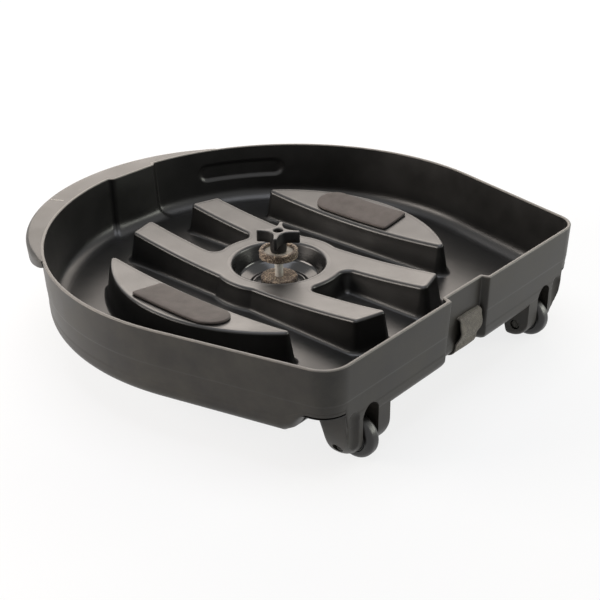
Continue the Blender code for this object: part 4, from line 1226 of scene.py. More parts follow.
    def land(self, side: int, inset: float) -> Points:
        """Plan of one crescent land: a chord, an arc about the post and a fillet at each tip.

        Args:
            side: -1 left, 1 right.
            inset: Distance inside the outline of the flank's top.

        Returns:
            Closed loop, anticlockwise.
        """
        front, back = (self.sharp, self.blunt) if side < 0 else (self.blunt, self.sharp)
        tips = []
        for size in (front, back):
            size = max(size - inset, 0.001)
            x = self.chord + inset + size
            y = math.sqrt((self.land_radius - inset - size) ** 2 - x * x)
            tips.append((x, y, size, math.atan2(y, x)))
        (fx, fy, fs, fa), (bx, by, bs, ba) = tips
        loop = np.concatenate((
            bend((0, 0), self.land_radius - inset, -fa, ba, 56)[:-1],
            bend((bx, by), bs, ba, math.pi, 14)[:-1],
            line((self.chord + inset, by), (self.chord + inset, -fy), 44)[:-1],
            bend((fx, -fy), fs, math.pi, 2 * math.pi - fa, 14)[:-1],
        ))
        if side < 0:
            loop = loop[::-1] * (-1.0, 1.0)
        return loop + (0.0, self.post_y)

    def island(self, skin: Skin, curve: Callable[[float], Points], holes: list[Points]) -> None:
        """Raises a drafted island over a family of plan curves: foot fillet, flank, rounded edge, bowed top.

        Args:
            skin: Gets the surface.
            curve: Plan of the island for an inset.
            holes: Loops left open in its top.
        """
        rows = []
        for t in np.linspace(0.0, 1.0, 7)[:-1]:
            plan = curve(-self.foot_spread * (1 - t) ** 2 - 0.0060 * 2 * t * (1 - t) - self.flank_foot * t**2)
            top = self.bowed(plan, self.edge)
            flank = self.flank_base + (top - self.flank_base) * (1 - self.flank_foot / self.taper)
            z = (self.floor - 0.00004) * (1 - t) ** 2 + self.floor * 2 * t * (1 - t) + flank * t**2
            rows.append(np.column_stack((plan, z)))
        for inset in np.linspace(-self.flank_foot, 0.0, 5):
            plan = curve(inset)
            top = self.bowed(plan, self.edge)
            flank = self.flank_base + (top - self.flank_base) * (1 + inset / self.taper)
            rows.append(np.column_stack((plan, flank)))
        for turn in np.linspace(math.pi / 2, 0.0, 9)[1:]:
            plan = curve(self.edge * (1 - math.sin(turn)))
            rows.append(np.column_stack((plan, self.bowed(plan, self.edge * (1 - math.cos(turn))))))
        # The top sinks a little inside its edge, which stands as a fine bead
        full = self.bead_sink
        bead = ((0.0008, 0.00001), (0.0016, 0.0001), (0.0024, 0.00019), (0.0034, full), (0.0050, full))
        for inset, sink in bead:
            plan = curve(self.edge + inset)
            rows.append(np.column_stack((plan, self.bowed(plan, sink))))
        skin.rows(np.stack(rows))
        skin.fill([rows[-1][:, :2]] + holes, lambda plan: self.bowed(plan, full), 0.012)

    def dishing(self, skin: Skin) -> Points:
        """The dish: rounded mouth, steep wall, shallow cone, level floor with a fine ring and the post's hole.

        Args:
            skin: Gets the surface.

        Returns:
            The mouth's loop in plan.
        """
        middle = (0.0, self.post_y)
        top = float(self.bowed(np.array([[self.dish + self.edge, self.post_y]]))[0])
        mouth = bend((self.dish + self.edge, top - self.edge), self.edge, math.pi / 2, math.pi * 0.94, 8)
        brim = self.dish + self.edge
        sunk = np.array([(brim + 0.0024, top - 0.0002), (brim + 0.0012, top - 0.00008)])
        low = self.dish_floor
        foot = (self.cone_foot, low)
        wall = np.concatenate((
            eased((self.dish, top), self.dish_bend, foot, 0.0034, 9),
            eased(self.dish_bend, foot, (0.0, low), 0.0010, 4),
        ))
        ridge = [
            (r, low + self.ridge_height * math.exp(-(((r - self.ridge) / self.ridge_width) ** 2)))
            for r in np.linspace(0.0370, 0.0328, 14)
        ]
        hole = [(0.02, low), (self.post_hole, low), (self.post_hole, low - self.wall)]
        profile = np.concatenate((sunk, mouth, wall, np.array(ridge), hole))
        skin.rows(spin(profile, middle))
        return spin(profile[:1], middle)[0][:, :2]

    def hollow(self, skin: Skin, curve: Callable[[float], Points], cup: bool) -> Points:
        """The underside of an island: a hollow one wall thinner all round, open downwards.

        Args:
            skin: Gets the surface.
            curve: Plan of the island for an inset.
            cup: Whether the dish's cup hangs in it.

        Returns:
            Its mouth's loop in the base.
        """
        rows = []
        mouth = -self.hollow_mouth + self.wall
        steps = (
            (mouth, 0.0),
            (mouth - 0.0012, 0.02),
            (-0.006 + self.wall, 0.09),
            (self.wall - 0.001, 0.9),
            (self.wall, 0.97),
            (self.wall + 0.0016, 1.0),
        )
        for inset, share in steps:
            plan = curve(inset)
            roof = self.bowed(plan, self.wall)
            rows.append(np.column_stack((plan, self.base + (roof - self.base) * share)))
        rows[0] = np.column_stack((curve(mouth - 0.003), np.full(len(rows[0]), self.base)))
        skin.rows(np.stack(rows), flip=True)
        holes = []
        if cup:
            middle = (0.0, self.post_y)
            outer = self.dish + self.wall
            low = self.cup_under
            wall = eased((outer, 0.075), (self.cup_foot, low), (0.0, low), 0.010, 6)
            profile = np.concatenate(
                ([(outer, 0.0745)], wall, [(self.post_hole, low), (self.post_hole, 0.052)])
            )
            skin.rows(spin(profile, middle), flip=True)
            holes.append(spin(profile[:1], middle)[0][:, :2])
        skin.fill([rows[-1][:, :2]] + holes, lambda plan: self.bowed(plan, self.wall), 0.02, flip=True)
        return rows[0][:, :2]

    def tray(self, paints: Paints) -> list[bpy.types.Object]:
        """Walls, floor, cradle, lands, dish and underside.

        Args:
            paints: The finishes.

        Returns:
            The pieces.
        """
        inside, rim, outside = Skin(), Skin(), Skin()
        self.walls(inside, rim, outside)
        deck = Skin()
        middle = (0.0, self.post_y)
        well = spin(np.array([(self.floor_hole, self.floor)]), middle)[0][:, :2]
        deck.fill([self.deck(), well], lambda plan: np.full(len(plan), self.floor), 0.03)
        cradle, dish = Skin(), Skin()
        mouth = self.dishing(dish)
        self.island(cradle, self.bars, [mouth])
        lands = Skin()
        for side in (-1, 1):
            self.island(lands, lambda inset, side=side: self.land(side, inset), [])
        under = Skin()
        mouths = [self.hollow(under, self.bars, True)]
        mouths += [
            self.hollow(under, lambda inset, side=side: self.land(side, inset), False) for side in (-1, 1)
        ]
        edge = self.outline(self.draft + self.bottom_round + 0.006)
        for side in (-1, 1):
            corner = [
                (0.141, -0.2575),
                (0.2600, -0.2570),
                (0.2600, self.notch_from),
                (self.relief_in, self.notch_from),
                (self.relief_in, self.slot_back),
                (0.141, self.slot_back),
            ]
            mouths.append(np.array(corner) * (side, 1.0))
        under.fill([edge] + mouths, lambda plan: np.full(len(plan), self.base), 0.03, flip=True)
        return [
            inside.build("wall_inside", paints, Look.SHELL_PAINTED_DARKER),
            rim.build("wall_rim", paints, Look.RIM_PAINTED_HIGHLIGHT),
            outside.build("wall_outside", paints, Look.OUTSIDE),
            deck.build("tray_floor", paints, Look.SHELL_PAINTED_DARKER),
            cradle.build("cradle", paints, Look.SHELL_PAINTED_DARKER),
            dish.build("dish", paints, Look.DISH),
            lands.build("crescent_lands", paints, Look.SHELL_PAINTED_DARKER),
            under.build("tray_underside", paints, Look.OUTSIDE),
        ]

    def well(self, skin: Skin, side: int) -> None:
        """The block in a corner that roofs its wheel slot, drawn in by its rounding on its two free sides.

        Args:
            skin: Gets the surface.
            side: -1 left, 1 right.
        """
        line_in = self.outline(0.0028)
        keep = (line_in[:, 0] > self.well_side) & (line_in[:, 1] < self.well_back - 0.003)
        wall = line_in[keep]
        back = line_in[(line_in[:, 0] > 0.2) & (line_in[:, 1] > -0.245) & (line_in[:, 1] < -0.19)]

        def loop(inset: float) -> Points:
            """Plan of the block drawn in on its two free sides.

            Args:
                inset: Distance inside its foot.

            Returns:
                Closed loop, anticlockwise.
            """
            y = self.well_back - inset
            x = 0.153 + inset
            end = (float(np.interp(y, back[:, 1], back[:, 0])), y)
            start = (x, float(wall[0, 1]))
            plan = np.concatenate(([start], wall, [end], eased(end, (x, y), start, 0.006, 6)))
            return plan[::-1] * (-1.0, 1.0) if side < 0 else plan

        steps = [(-0.004, 0.05396), (-0.0022, 0.0545), (-0.0007, 0.0556), (0.0, 0.0580), (0.0, 0.0745)]
        size = 0.0030
        for turn in np.linspace(0.1, math.pi / 2, 6):
            steps.append((size * (1 - math.cos(turn)), 0.0750 + size * math.sin(turn)))
        hidden = np.arange(len(loop(0.0)))
        hidden = hidden[::-1] if side < 0 else hidden
        # The sides that lie in the wall start above the arch and the relief
        last = np.where(hidden <= len(wall) + 1, 0.062, 0.0)
        least = np.where((hidden > 0) & (hidden <= len(wall)), self.roof, last)
        rows = [np.column_stack((loop(inset), np.maximum(z, least))) for inset, z in steps]
        skin.rows(np.stack(rows))
        skin.fill([rows[-1][:, :2]], lambda plan: np.full(len(plan), self.well_top), 0.03)

    def relief(self, skin: Skin, side: int) -> None:
        """Roof of the cut-away at a corner's underside, which follows the notch.

        Args:
            skin: Gets the surface.
            side: -1 left, 1 right.
        """
        line_in = self.outline(0.0200)
        free = line_in[(line_in[:, 0] > 0.206) & (line_in[:, 1] < self.notch_from - 0.0004)]
        end = (float(free[-1, 0]) + 0.00005, self.notch_from)
        start = [
            (self.relief_in, self.notch_from),
            (self.relief_in, self.slot_back),
            (self.relief_slot, self.slot_back),
            (self.relief_slot, float(free[0, 1])),
        ]
        roof = np.concatenate((start, free, [end]))
        roof = roof[::-1] * (-1.0, 1.0) if side < 0 else roof
        skin.fill([roof], lambda plan: self.notch(plan[:, 1]), 0.0025, flip=True)

    def housing(self, paints: Paints, side: int, hand: str) -> bpy.types.Object:
        """Fork under a corner: a side view carried across X, its lower edges lifted along a quarter ellipse.

        Args:
            paints: The finishes.
            side: -1 left, 1 right.
            hand: Ending of the piece's name.

        Returns:
            The piece.
        """
        front, top = -self.flat + self.draft, self.housing_top
        side_view = np.concatenate((
            line((front, top), (front, 0.036), 14)[:-1],
            bend((front + 0.025, 0.033), 0.025, math.pi, math.pi * 1.5, 14),
            eased((-0.2460, 0.008), (-0.2425, 0.008), (-0.2340, 0.042), 0.003, 4),
            line((-0.2409, 0.0145), (-0.2348, 0.039), 4)[1:],
            eased((-0.2340, 0.042), (-0.2305, 0.0490), (-0.2190, 0.0510), 0.006, 4),
            [(-0.2195, 0.0512), (-0.2215, 0.053), (-0.2215, top)],
        ))
        inner = [
            (
                0.139 + 0.006 * (1 - math.cos(t)), 0.006 * (1 - math.sin(t))
            ) for t in np.linspace(0.0, math.pi / 2, 7)
        ]
        plain = [(x, 0.0) for x in np.linspace(0.149, 0.1815, 12)]
        outer = [
            (
                0.183 + 0.030 * math.cos(t), 0.050 * (1 - math.sin(t))
            ) for t in np.linspace(math.pi / 2, 0.0, 40)
        ]
        rows = []
        for x, lift in inner + plain + outer:
            scale = (top - 0.008 - lift) / (top - 0.008)
            y, z = side_view[:, 0].copy(), side_view[:, 1].copy()
            z = top - (top - z) * scale
            bite = self.flute * np.sqrt(
                np.maximum(1 - np.maximum((z - self.relief_top) / self.flute + 1, 0.0) ** 2, 0.0)
            )
            away = abs(x - self.flute_x)
            dent = self.flute_y + np.sqrt(np.maximum(bite**2 - away**2, 0.0))
            y = np.where((away < bite) & (y < dent) & (y < self.front_only), dent, y)
            rows.append(np.stack((0 * y + side * x, y, z), -1))
        skin = Skin()
        grid = np.stack(rows)
        skin.rows(grid, flip=side < 0)
        for k, turn in ((0, side > 0), (-1, side < 0)):
            cap = np.arange(grid.shape[1])[None]
            skin.push(grid[k], cap if turn else cap[:, ::-1])
        item = skin.build("wheel_housing_" + hand, paints, Look.OUTSIDE, shift=False)
        arch = np.concatenate(
            (
                [(-self.slot_half, -0.01), (self.slot_half, -0.01)],
                bend((0, self.spring), self.slot_half, 0.0, math.pi, 24),
            )
        )
        slot = Skin()
        ends = [
            np.stack(
                (arch[:, 0] + side * self.slot_x, 0 * arch[:, 0] + y, arch[:, 1]), -1
            ) for y in (self.slot_front, self.slot_back)
        ]
        slot.rows(np.stack(ends), flip=True)
        slot.push(ends[0], np.arange(len(arch))[None])
        slot.push(ends[1], np.arange(len(arch))[None, ::-1])
        tools = [slot.build("slot_tool", paints, Look.SHELL_PAINTED_DARKER, shift=False)]
        for radius, low, high in self.bores:
            round_tool = Skin()
            ring = bend((AXLE_Y, AXLE_Z), radius, 0.0, 2 * math.pi, 32)[:-1]
            ends = [np.stack((0 * ring[:, 0] + side * x, ring[:, 0], ring[:, 1]), -1) for x in (low, high)]
            round_tool.rows(np.stack(ends), flip=side < 0)
            round_tool.push(ends[0], np.arange(32)[None, ::-1] if side > 0 else np.arange(32)[None])
            round_tool.push(ends[1], np.arange(32)[None] if side > 0 else np.arange(32)[None, ::-1])
            tools.append(round_tool.build("bore_tool", paints, Look.SHELL_PAINTED_DARKER, shift=False))
        carve(item, tools)
        item.data.transform(Matrix.Translation((0.0, -MIDDLE_Y, 0.0)))
        return item

    def grip(self, skin: Skin) -> None:
        """Sweeps the grip's section round the round end; its reach is a power of one minus the squared share.

        Args:
            skin: Gets the surface.
        """
        rows = []
        for share in np.linspace(-0.992, 0.992, 150):
            turn = math.radians(self.grip_middle + self.grip_half * share)
            bulge = self.grip_reach * max(1.0 - share * share, 0.0) ** 0.75
            reach = self.rim_radius + bulge
            low = self.rim - self.grip_height * min(1.0, 0.25 + bulge / self.grip_reach)
            edge, thick, round_end = min(0.005, bulge / 2), min(0.004, bulge * 0.45), min(0.0018, bulge * 0.2)
            root, top = self.rim_radius - 0.0013, self.rim - 0.0001
            roof = top - thick
            back = max(reach - thick - 0.001, root + 0.0005)
            inner, lip = min(0.003, bulge * 0.1), reach - 0.0012
            section = np.concatenate((
                line((root, top), (reach - edge, top), 5)[:-1],
                bend((reach - edge, top - edge), edge, math.pi / 2, 0.0, 8),
                line((reach, top - edge), (lip, low + round_end), 4)[1:],
                bend((lip - round_end, low + round_end), round_end, 0.0, -math.pi, 6)[1:],
                line((lip - 2 * round_end, low + round_end), (back, roof - inner), 4)[1:],
                bend((back - inner, roof - inner), inner, 0.0, math.pi / 2, 5)[1:],
                [(root, roof)],
            ))
            radius = np.maximum(section[:, 0], root)
            rows.append(np.stack((-math.sin(turn) * radius, math.cos(turn) * radius, section[:, 1]), -1))
        skin.rows(np.stack(rows), closed=False)
        # The strip that closes the strap groove under the grip
        back, front = self.rim_radius - self.groove_depth - 0.002, self.rim_radius + 0.0004
        narrow, wide = self.groove_half - 0.002, self.groove_half + 0.002
        plan = np.array([(-wide, front), (-narrow, back), (narrow, back), (wide, front)])
        middle = plan.mean(0)
        rows = []
        for z, inset in (
            (self.rim - 0.004, 0.0004),
            (self.rim - 0.0036, 0.0),
            (self.rim - 0.0004, 0.0),
            (self.rim - 0.00005, 0.0004),
        ):
            away = plan - middle
            drawn = plan - away / np.linalg.norm(away, axis=1, keepdims=True) * inset
            rows.append(np.column_stack((drawn, np.full(4, z))))
        skin.rows(np.stack(rows))
        skin.push(rows[-1], np.arange(4)[None])
        skin.push(rows[0], np.arange(4)[None, ::-1])

    def flash(self, skin: Skin) -> None:
        """A radial sliver of flash on the grip's top, left by the mould: a low arch carried outwards.

        Args:
            skin: Gets the surface.
        """
        turn = math.radians(self.flash_turn)
        away = np.array((-math.sin(turn), math.cos(turn)))
        aside = np.array((away[1], -away[0]))
        arch = np.linspace(0.0, math.pi, 7)
        rows = []
        for radius, size in (
            (0.3062, 0.1),
            (0.3075, 0.8),
            (0.312, 1.0),
            (0.318, 0.9),
            (0.324, 1.0),
            (0.3272, 0.7),
            (0.3282, 0.1),
        ):
            plan = away * radius + aside * (0.0005 * size * np.cos(arch))[:, None]
            rows.append(np.column_stack((plan, self.rim - 0.0003 + 0.0006 * size * np.sin(arch))))
        skin.rows(np.stack(rows))

    def foot(self, skin: Skin, side: int) -> None:
        """A foot: a tapered cup, turned, with a fillet where it leaves the base.

        Args:
            skin: Gets the surface.
            side: -1 left, 1 right.
        """
        profile = np.concatenate((
            eased((0.040, 0.04996), (0.0281, 0.04996), (0.0245, 0.0070), 0.0035, 6),
            line((0.0277, 0.045), (0.0241, 0.0022), 4)[1:],
            eased((0.0241, 0.0022), (0.0240, 0.0), (0.0210, 0.0), 0.0016, 4),
            eased((0.0210, 0.0), (0.0194, 0.0), (0.0196, 0.0022), 0.0006, 3),
            line((0.0195, 0.0022), (0.0228, 0.0440), 3)[1:],
            eased((0.0228, 0.0440), (0.0231, 0.0480), (0.0180, 0.0480), 0.003, 5),
            [(0.012, 0.048), (0.0001, 0.048)],
        ))
        skin.rows(spin(profile, (side * self.foot_x, self.foot_y), 64), flip=True)

    def undercarriage(self, paints: Paints) -> list[bpy.types.Object]:
        """Wells, reliefs, wheel housings, grip and feet.

        Args:
            paints: The finishes.

        Returns:
            The pieces.
        """
        corners_skin, grip, feet, flash = Skin(), Skin(), Skin(), Skin()
        for side in (-1, 1):
            self.well(corners_skin, side)
            self.relief(corners_skin, side)
            self.foot(feet, side)
        self.grip(grip)
        self.flash(flash)
        return [
            flash.build("parting_flash", paints, Look.SEAM),
            corners_skin.build("corner_wells", paints, Look.SHELL_PAINTED_DARKER),
            grip.build("side_grip", paints, Look.OUTSIDE),
            feet.build("feet", paints, Look.OUTSIDE),
            self.housing(paints, -1, "left"),
            self.housing(paints, 1, "right"),
        ]


def carve(item: bpy.types.Object, tools: list[bpy.types.Object]) -> None:
    """Cuts closed tools out of a closed piece, for good, and removes the tools.

    Args:
        item: The piece.
        tools: What is cut out of it.
    """
    for tool in tools:
        step = item.modifiers.new(tool.name, "BOOLEAN")
        step.operation = "DIFFERENCE"
        step.solver = "EXACT"
        step.object = tool
    bpy.context.view_layer.update()
    done = bpy.data.meshes.new_from_object(item.evaluated_get(bpy.context.evaluated_depsgraph_get()))
    item.modifiers.clear()
    item.data = done
    done.shade_smooth()
    done.set_sharp_from_angle(angle=math.radians(32.0))
    for tool in tools:
        bpy.data.objects.remove(tool, do_unlink=True)


def along_x(points: Points, side: int, middle: float) -> Points:
    """Turns points drawn about Z onto a wheel's axle, their +Z outwards."""
    return np.stack(
        (side * (points[..., 2] + middle), points[..., 0] + AXLE_Y, points[..., 1] * side + AXLE_Z), -1
    )


@dataclass
class Wheel:
    """One wheel: a solid tyre with a round tread on a moulded hub."""

    radius: float = 0.025
    half: float = 0.009
    tread_half: float = 0.0022
    tread_round: float = 0.0066
    hub: float = 0.0155
    boss: float = 0.0102
    bore: float = 0.0053
    middle: float = 0.172

    def place(self, skin: Skin, profile: Points, side: int) -> None:
        """Adds a profile, in radius and distance along the axle, carried round the axle.

        Args:
            skin: Gets the surface.
            profile: Closed loop, its outside run from the outer face to the inner.
            side: -1 left, 1 right.
        """
        grid = spin(np.concatenate((profile, profile[:1])), (0.0, 0.0), 72)
        skin.rows(along_x(grid, side, self.middle), flip=True)

    def build(self, paints: Paints, side: int, hand: str) -> list[bpy.types.Object]:
        """Makes the tyre and the hub.

        Args:
            paints: The finishes.
            side: -1 left, 1 right.
            hand: Ending of the pieces' names.

        Returns:
            Tyre and hub.
        """
        half, shoulder = self.half, self.half - self.tread_half
        t = np.linspace(0.12, math.pi / 2, 12)
        upper = np.stack(
            (self.radius - self.tread_round * (1 - np.sin(t)), half - shoulder * (1 - np.cos(t))), -1
        )
        face = [
            (self.hub + 0.0004, half - 0.0006),
            (self.hub + 0.0010, half - 0.0002),
            (self.hub + 0.0016, half - 0.0003),
        ]
        upper = np.concatenate((face, upper))
        crown = upper[-1] * (1.0, 0.0)
        profile = np.concatenate(
            (
                upper,
                [crown],
                upper[::-1] * (1.0, -1.0),
                [(self.hub + 0.0003, -half + 0.0012), (self.hub + 0.0003, half - 0.0012)],
            )
        )
        tyre = Skin()
        self.place(tyre, profile, side)
        side_face = np.concatenate((
            [(self.bore, self.boss - 0.0004), (self.bore + 0.0004, self.boss)],
            eased((self.bore, self.boss), (0.0080, self.boss), (0.0084, 0.0040), 0.0007, 3),
            eased((0.0080, self.boss), (0.0083, 0.0040), (0.0140, 0.0040), 0.0012, 4),
            eased((0.0083, 0.0040), (0.0138, 0.0040), (0.0140, half), 0.0010, 4),
            eased((0.0139, 0.0040), (0.0140, half - 0.0002), (self.hub, half - 0.0002), 0.0005, 3),
            [(self.hub - 0.0004, half - 0.0002), (self.hub, half - 0.0007)],
        ))
        hub = Skin()
        self.place(hub, np.concatenate((side_face, side_face[::-1] * (1.0, -1.0))), side)
        pieces = [tyre.build("tyre_" + hand, paints, Look.TYRE), hub.build("hub_" + hand, paints, Look.HUB)]
        for piece, node, slot in zip(pieces, ("wheel_tyre_", "wheel_hub_"), ("tyre", "hub_plastic")):
            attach(piece, "wheel_" + hand)
            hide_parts(node + hand)
        return pieces


def rough(points: Points, middle: Points, depth: float, seed: int) -> Points:
    """Draws points in towards a middle by a sum of seeded sines of place, between nought and `depth`.

    Args:
        points: Grid of points.
        middle: Point they are drawn towards.
        depth: Most that a point moves.
        seed: Seed of the waves.

    Returns:
        The moved points.
    """
    rng = np.random.default_rng(seed)
    total = np.zeros(points.shape[:-1])
    for _ in range(24):
        wave = rng.normal(0.0, 900.0, 3)
        total += np.sin(points @ wave + rng.uniform(0, 6.28))
    total = np.clip(0.5 + total / 11.0, 0.0, 1.0)[..., None]
    away = points - middle
    return points - away / np.maximum(np.linalg.norm(away, axis=-1, keepdims=True), 1e-6) * total * depth


@dataclass
class Clamp:
    """Post fittings: two felts, the washer let into the upper one, the sleeve and the knob."""

    y: float = POST_Y
    felt_low_z: float = 0.0513
    felt_high_z: float = 0.088
    knob_z: float = 0.0955
    knob_reach: float = 0.0278
    knob_arm: float = 0.0056
    knob_web: float = 60.0e-6
    knob_turn: float = 34.0
    knob_low: float = 0.0128
    knob_high: float = 0.0285
    knob_bore: float = 0.0065
    knob_hub: float = 0.0108

    def felt(self, paints: Paints, name: str, profile: Points, node: str, body: str, seed: int) -> None:
        """One felt disc: a turned profile whose outside is drawn in unevenly.

        Args:
            paints: The finishes.
            name: Name of the piece.
            profile: Closed loop in radius and height.
            node: CAD node that it replaces.
            body: Body that it rides on.
            seed: Seed of its unevenness.
        """
        grid = spin(np.concatenate((profile, profile[:1])), (0.0, self.y), 180)
        centre = np.array((0.0, self.y, float(profile[:, 1].mean())))
        moved = rough(grid, centre, 0.0005, seed)
        outer = (np.hypot(grid[..., 0], grid[..., 1] - self.y) > 0.0095)[..., None]
        skin = Skin()
        skin.rows(np.where(outer, moved, grid), flip=True)
        piece = skin.build(name, paints, Look.FELT, 60.0)
        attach(piece, body)
        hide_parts(node)

    def felts(self, paints: Paints) -> None:
        """Both felts.

        Args:
            paints: The finishes.
        """
        low, high = self.felt_low_z, self.felt_high_z
        lower = np.concatenate((
            line((0.0058, low + 0.0100), (0.0215, low + 0.0100), 14),
            eased((0.0215, low + 0.0100), (0.0240, low + 0.0100), (0.0240, low + 0.004), 0.0022, 6),
            line((0.0240, low + 0.0075), (0.0240, low + 0.0020), 6)[1:],
            eased((0.0240, low + 0.0020), (0.0240, low), (0.0200, low), 0.0012, 4),
            [(0.0190, low), (0.0089, low), (0.0089, low + 0.0065), (0.0058, low + 0.0065)],
        ))
        self.felt(paints, "lower_felt", lower, "felt_lower", "case", 3)
        upper = np.concatenate((
            eased((0.0192, high + 0.007), (0.0194, high + 0.0105), (0.0210, high + 0.0105), 0.0012, 5),
            line((0.0208, high + 0.0105), (0.0226, high + 0.0105), 2)[1:],
            eased((0.0226, high + 0.0105), (0.0250, high + 0.0105), (0.0250, high + 0.006), 0.0020, 6),
            line((0.0250, high + 0.0083), (0.0250, high + 0.0022), 7)[1:],
            eased((0.0250, high + 0.0022), (0.0250, high), (0.0200, high), 0.0018, 6),
            line((0.0230, high), (0.0058, high), 12)[1:],
            [(0.0058, high + 0.0052), (0.0191, high + 0.0052)],
        ))
        self.felt(paints, "upper_felt", upper, "felt_upper", "clamp", 8)

    def metal(self, paints: Paints) -> None:
        """The washer in the upper felt, slightly dished, and the sleeve, each turned with rounded edges.

        Args:
            paints: The finishes.
        """
        z = self.felt_high_z + 0.0055
        washer = np.concatenate((
            eased((0.0058, z), (0.0058, z + 0.0016), (0.008, z + 0.0016), 0.0003, 3),
            [(0.0105, z + 0.0016), (0.0150, z + 0.0014), (0.0180, z + 0.0015)],
            eased((0.018, z + 0.0016), (0.0188, z + 0.0016), (0.0188, z), 0.0005, 4),
            eased((0.0188, z + 0.0016), (0.0188, z + 0.0001), (0.018, z + 0.0001), 0.0003, 3),
        ))
        sleeve = np.concatenate((
            eased((0.0043, 0.085), (0.0043, 0.090), (0.0050, 0.090), 0.0003, 3),
            eased((0.0043, 0.090), (0.0054, 0.090), (0.0054, 0.085), 0.0004, 4),
            [(0.0054, 0.080), (0.0054, 0.070), (0.0054, 0.060)],
            eased((0.0054, 0.060), (0.0054, 0.0575), (0.0050, 0.0575), 0.0003, 3),
            [(0.0043, 0.0575)],
        ))
        for name, profile, node, body, look in (
            ("cup_washer", washer, "felt_washer", "clamp", Look.CLOUDY),
            ("sleeve", sleeve, "post_sleeve", "case", Look.TUBE),
        ):
            skin = Skin()
            skin.rows(spin(np.concatenate((profile, profile[:1])), (0.0, self.y), 72), flip=True)
            piece = skin.build(name, paints, look)
            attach(piece, body)
            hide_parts(node)

    def cross(self) -> Points:
        """Outline of the knob's cross: round arm ends joined by hyperbolas, x times y constant.

        Returns:
            Closed loop about the post, anticlockwise.
        """
        half = self.knob_arm / 2
        corner = math.sqrt(self.knob_web)
        join = self.knob_web / half
        x = join * (corner / join) ** np.linspace(0.0, 1.0, 14)
        flank = np.stack((x, self.knob_web / x), -1)
        tip = bend((self.knob_reach - half, 0.0), half, 0.0, math.pi / 2, 8)
        quarter = np.concatenate(
            (
                tip,
                line(tip[-1], flank[0], 4)[1:-1],
                flank,
                flank[-2::-1, ::-1],
                line(flank[0], tip[-1], 4)[1:-1, ::-1],
                tip[:0:-1, ::-1],
            )
        )
        parts = [
            quarter @ np.array(
                ((math.cos(t), math.sin(t)), (-math.sin(t), math.cos(t)))
            ) for t in np.arange(4) * math.pi / 2
        ]
        turn = math.radians(self.knob_turn)
        return np.concatenate(parts) @ np.array(
            ((math.cos(turn), math.sin(turn)), (-math.sin(turn), math.cos(turn)))
        )

    def knob(self, paints: Paints) -> None:
        """The knob: the cross drawn in along its own normals near its top and bottom, on a turned hub.

        Args:
            paints: The finishes.
        """
        loop = self.cross()
        ahead, behind = np.roll(loop, -1, 0), np.roll(loop, 1, 0)
        tangent = (ahead - behind) / np.linalg.norm(ahead - behind, axis=1, keepdims=True)
        normal = np.stack((tangent[:, 1], -tangent[:, 0]), -1)
        low, high, edge = self.knob_low, self.knob_high, 0.0013
        steps = [(0.9 * edge, low), (0.3 * edge, low + 0.25 * edge), (0.0, low + edge)]
        steps += [(0.0, low + share * (high - low)) for share in (0.4, 0.7)]
        steps += [
            (
                edge * (1 - math.cos(t)), high - edge + edge * math.sin(t)
            ) for t in np.linspace(0.0, math.pi / 2, 7)
        ]
        rows = []
        for inset, z in steps:
            draft = 0.00025 * (z - low) / (high - low)
            plan = loop - normal * (inset + draft)
            rows.append(np.column_stack((plan + (0.0, self.y), np.full(len(plan), self.knob_z + z))))
        skin = Skin()
        skin.rows(np.stack(rows))
        hole = spin(np.array([(self.knob_bore + 0.0006, 0.0)]), (0.0, self.y), 64)[0][:, :2]
        skin.fill([rows[-1][:, :2], hole], lambda plan: np.full(len(plan), self.knob_z + high), 0.004)
        skin.fill([rows[0][:, :2]], lambda plan: np.full(len(plan), self.knob_z + low), 0.004, flip=True)
        bore = np.array(
            [
                (0.0, high),
                (-0.0004, high - 0.0002),
                (-0.0006, high - 0.0007),
                (-0.0006, 0.0208),
                (0.00075, 0.0208),
                (0.00075, 0.0122),
            ]
        )
        bore = bore + (self.knob_bore + 0.0006, self.knob_z)
        skin.rows(spin(bore, (0.0, self.y), 64))
        hub = np.concatenate((
            [(self.knob_hub - 0.0001, low + 0.003), (self.knob_hub, low), (self.knob_hub - 0.0002, 0.004)],
            eased((self.knob_hub - 0.0004, 0.004), (self.knob_hub - 0.0006, 0.0), (0.008, 0.0), 0.0010, 4),
            [(0.0075, 0.0), (0.0058, 0.0), (0.0058, 0.0120), (0.0073, 0.0122)],
        )) + (0.0, self.knob_z)
        skin.rows(spin(hub, (0.0, self.y), 64), flip=True)
        piece = skin.build("clamp_knob", paints, Look.KNOB, 45.0)
        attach(piece, "knob")
        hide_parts("knob")

    def build(self, paints: Paints) -> None:
        """Makes the felts, the metal rings and the knob.

        Args:
            paints: The finishes.
        """
        self.felts(paints)
        self.metal(paints)
        self.knob(paints)


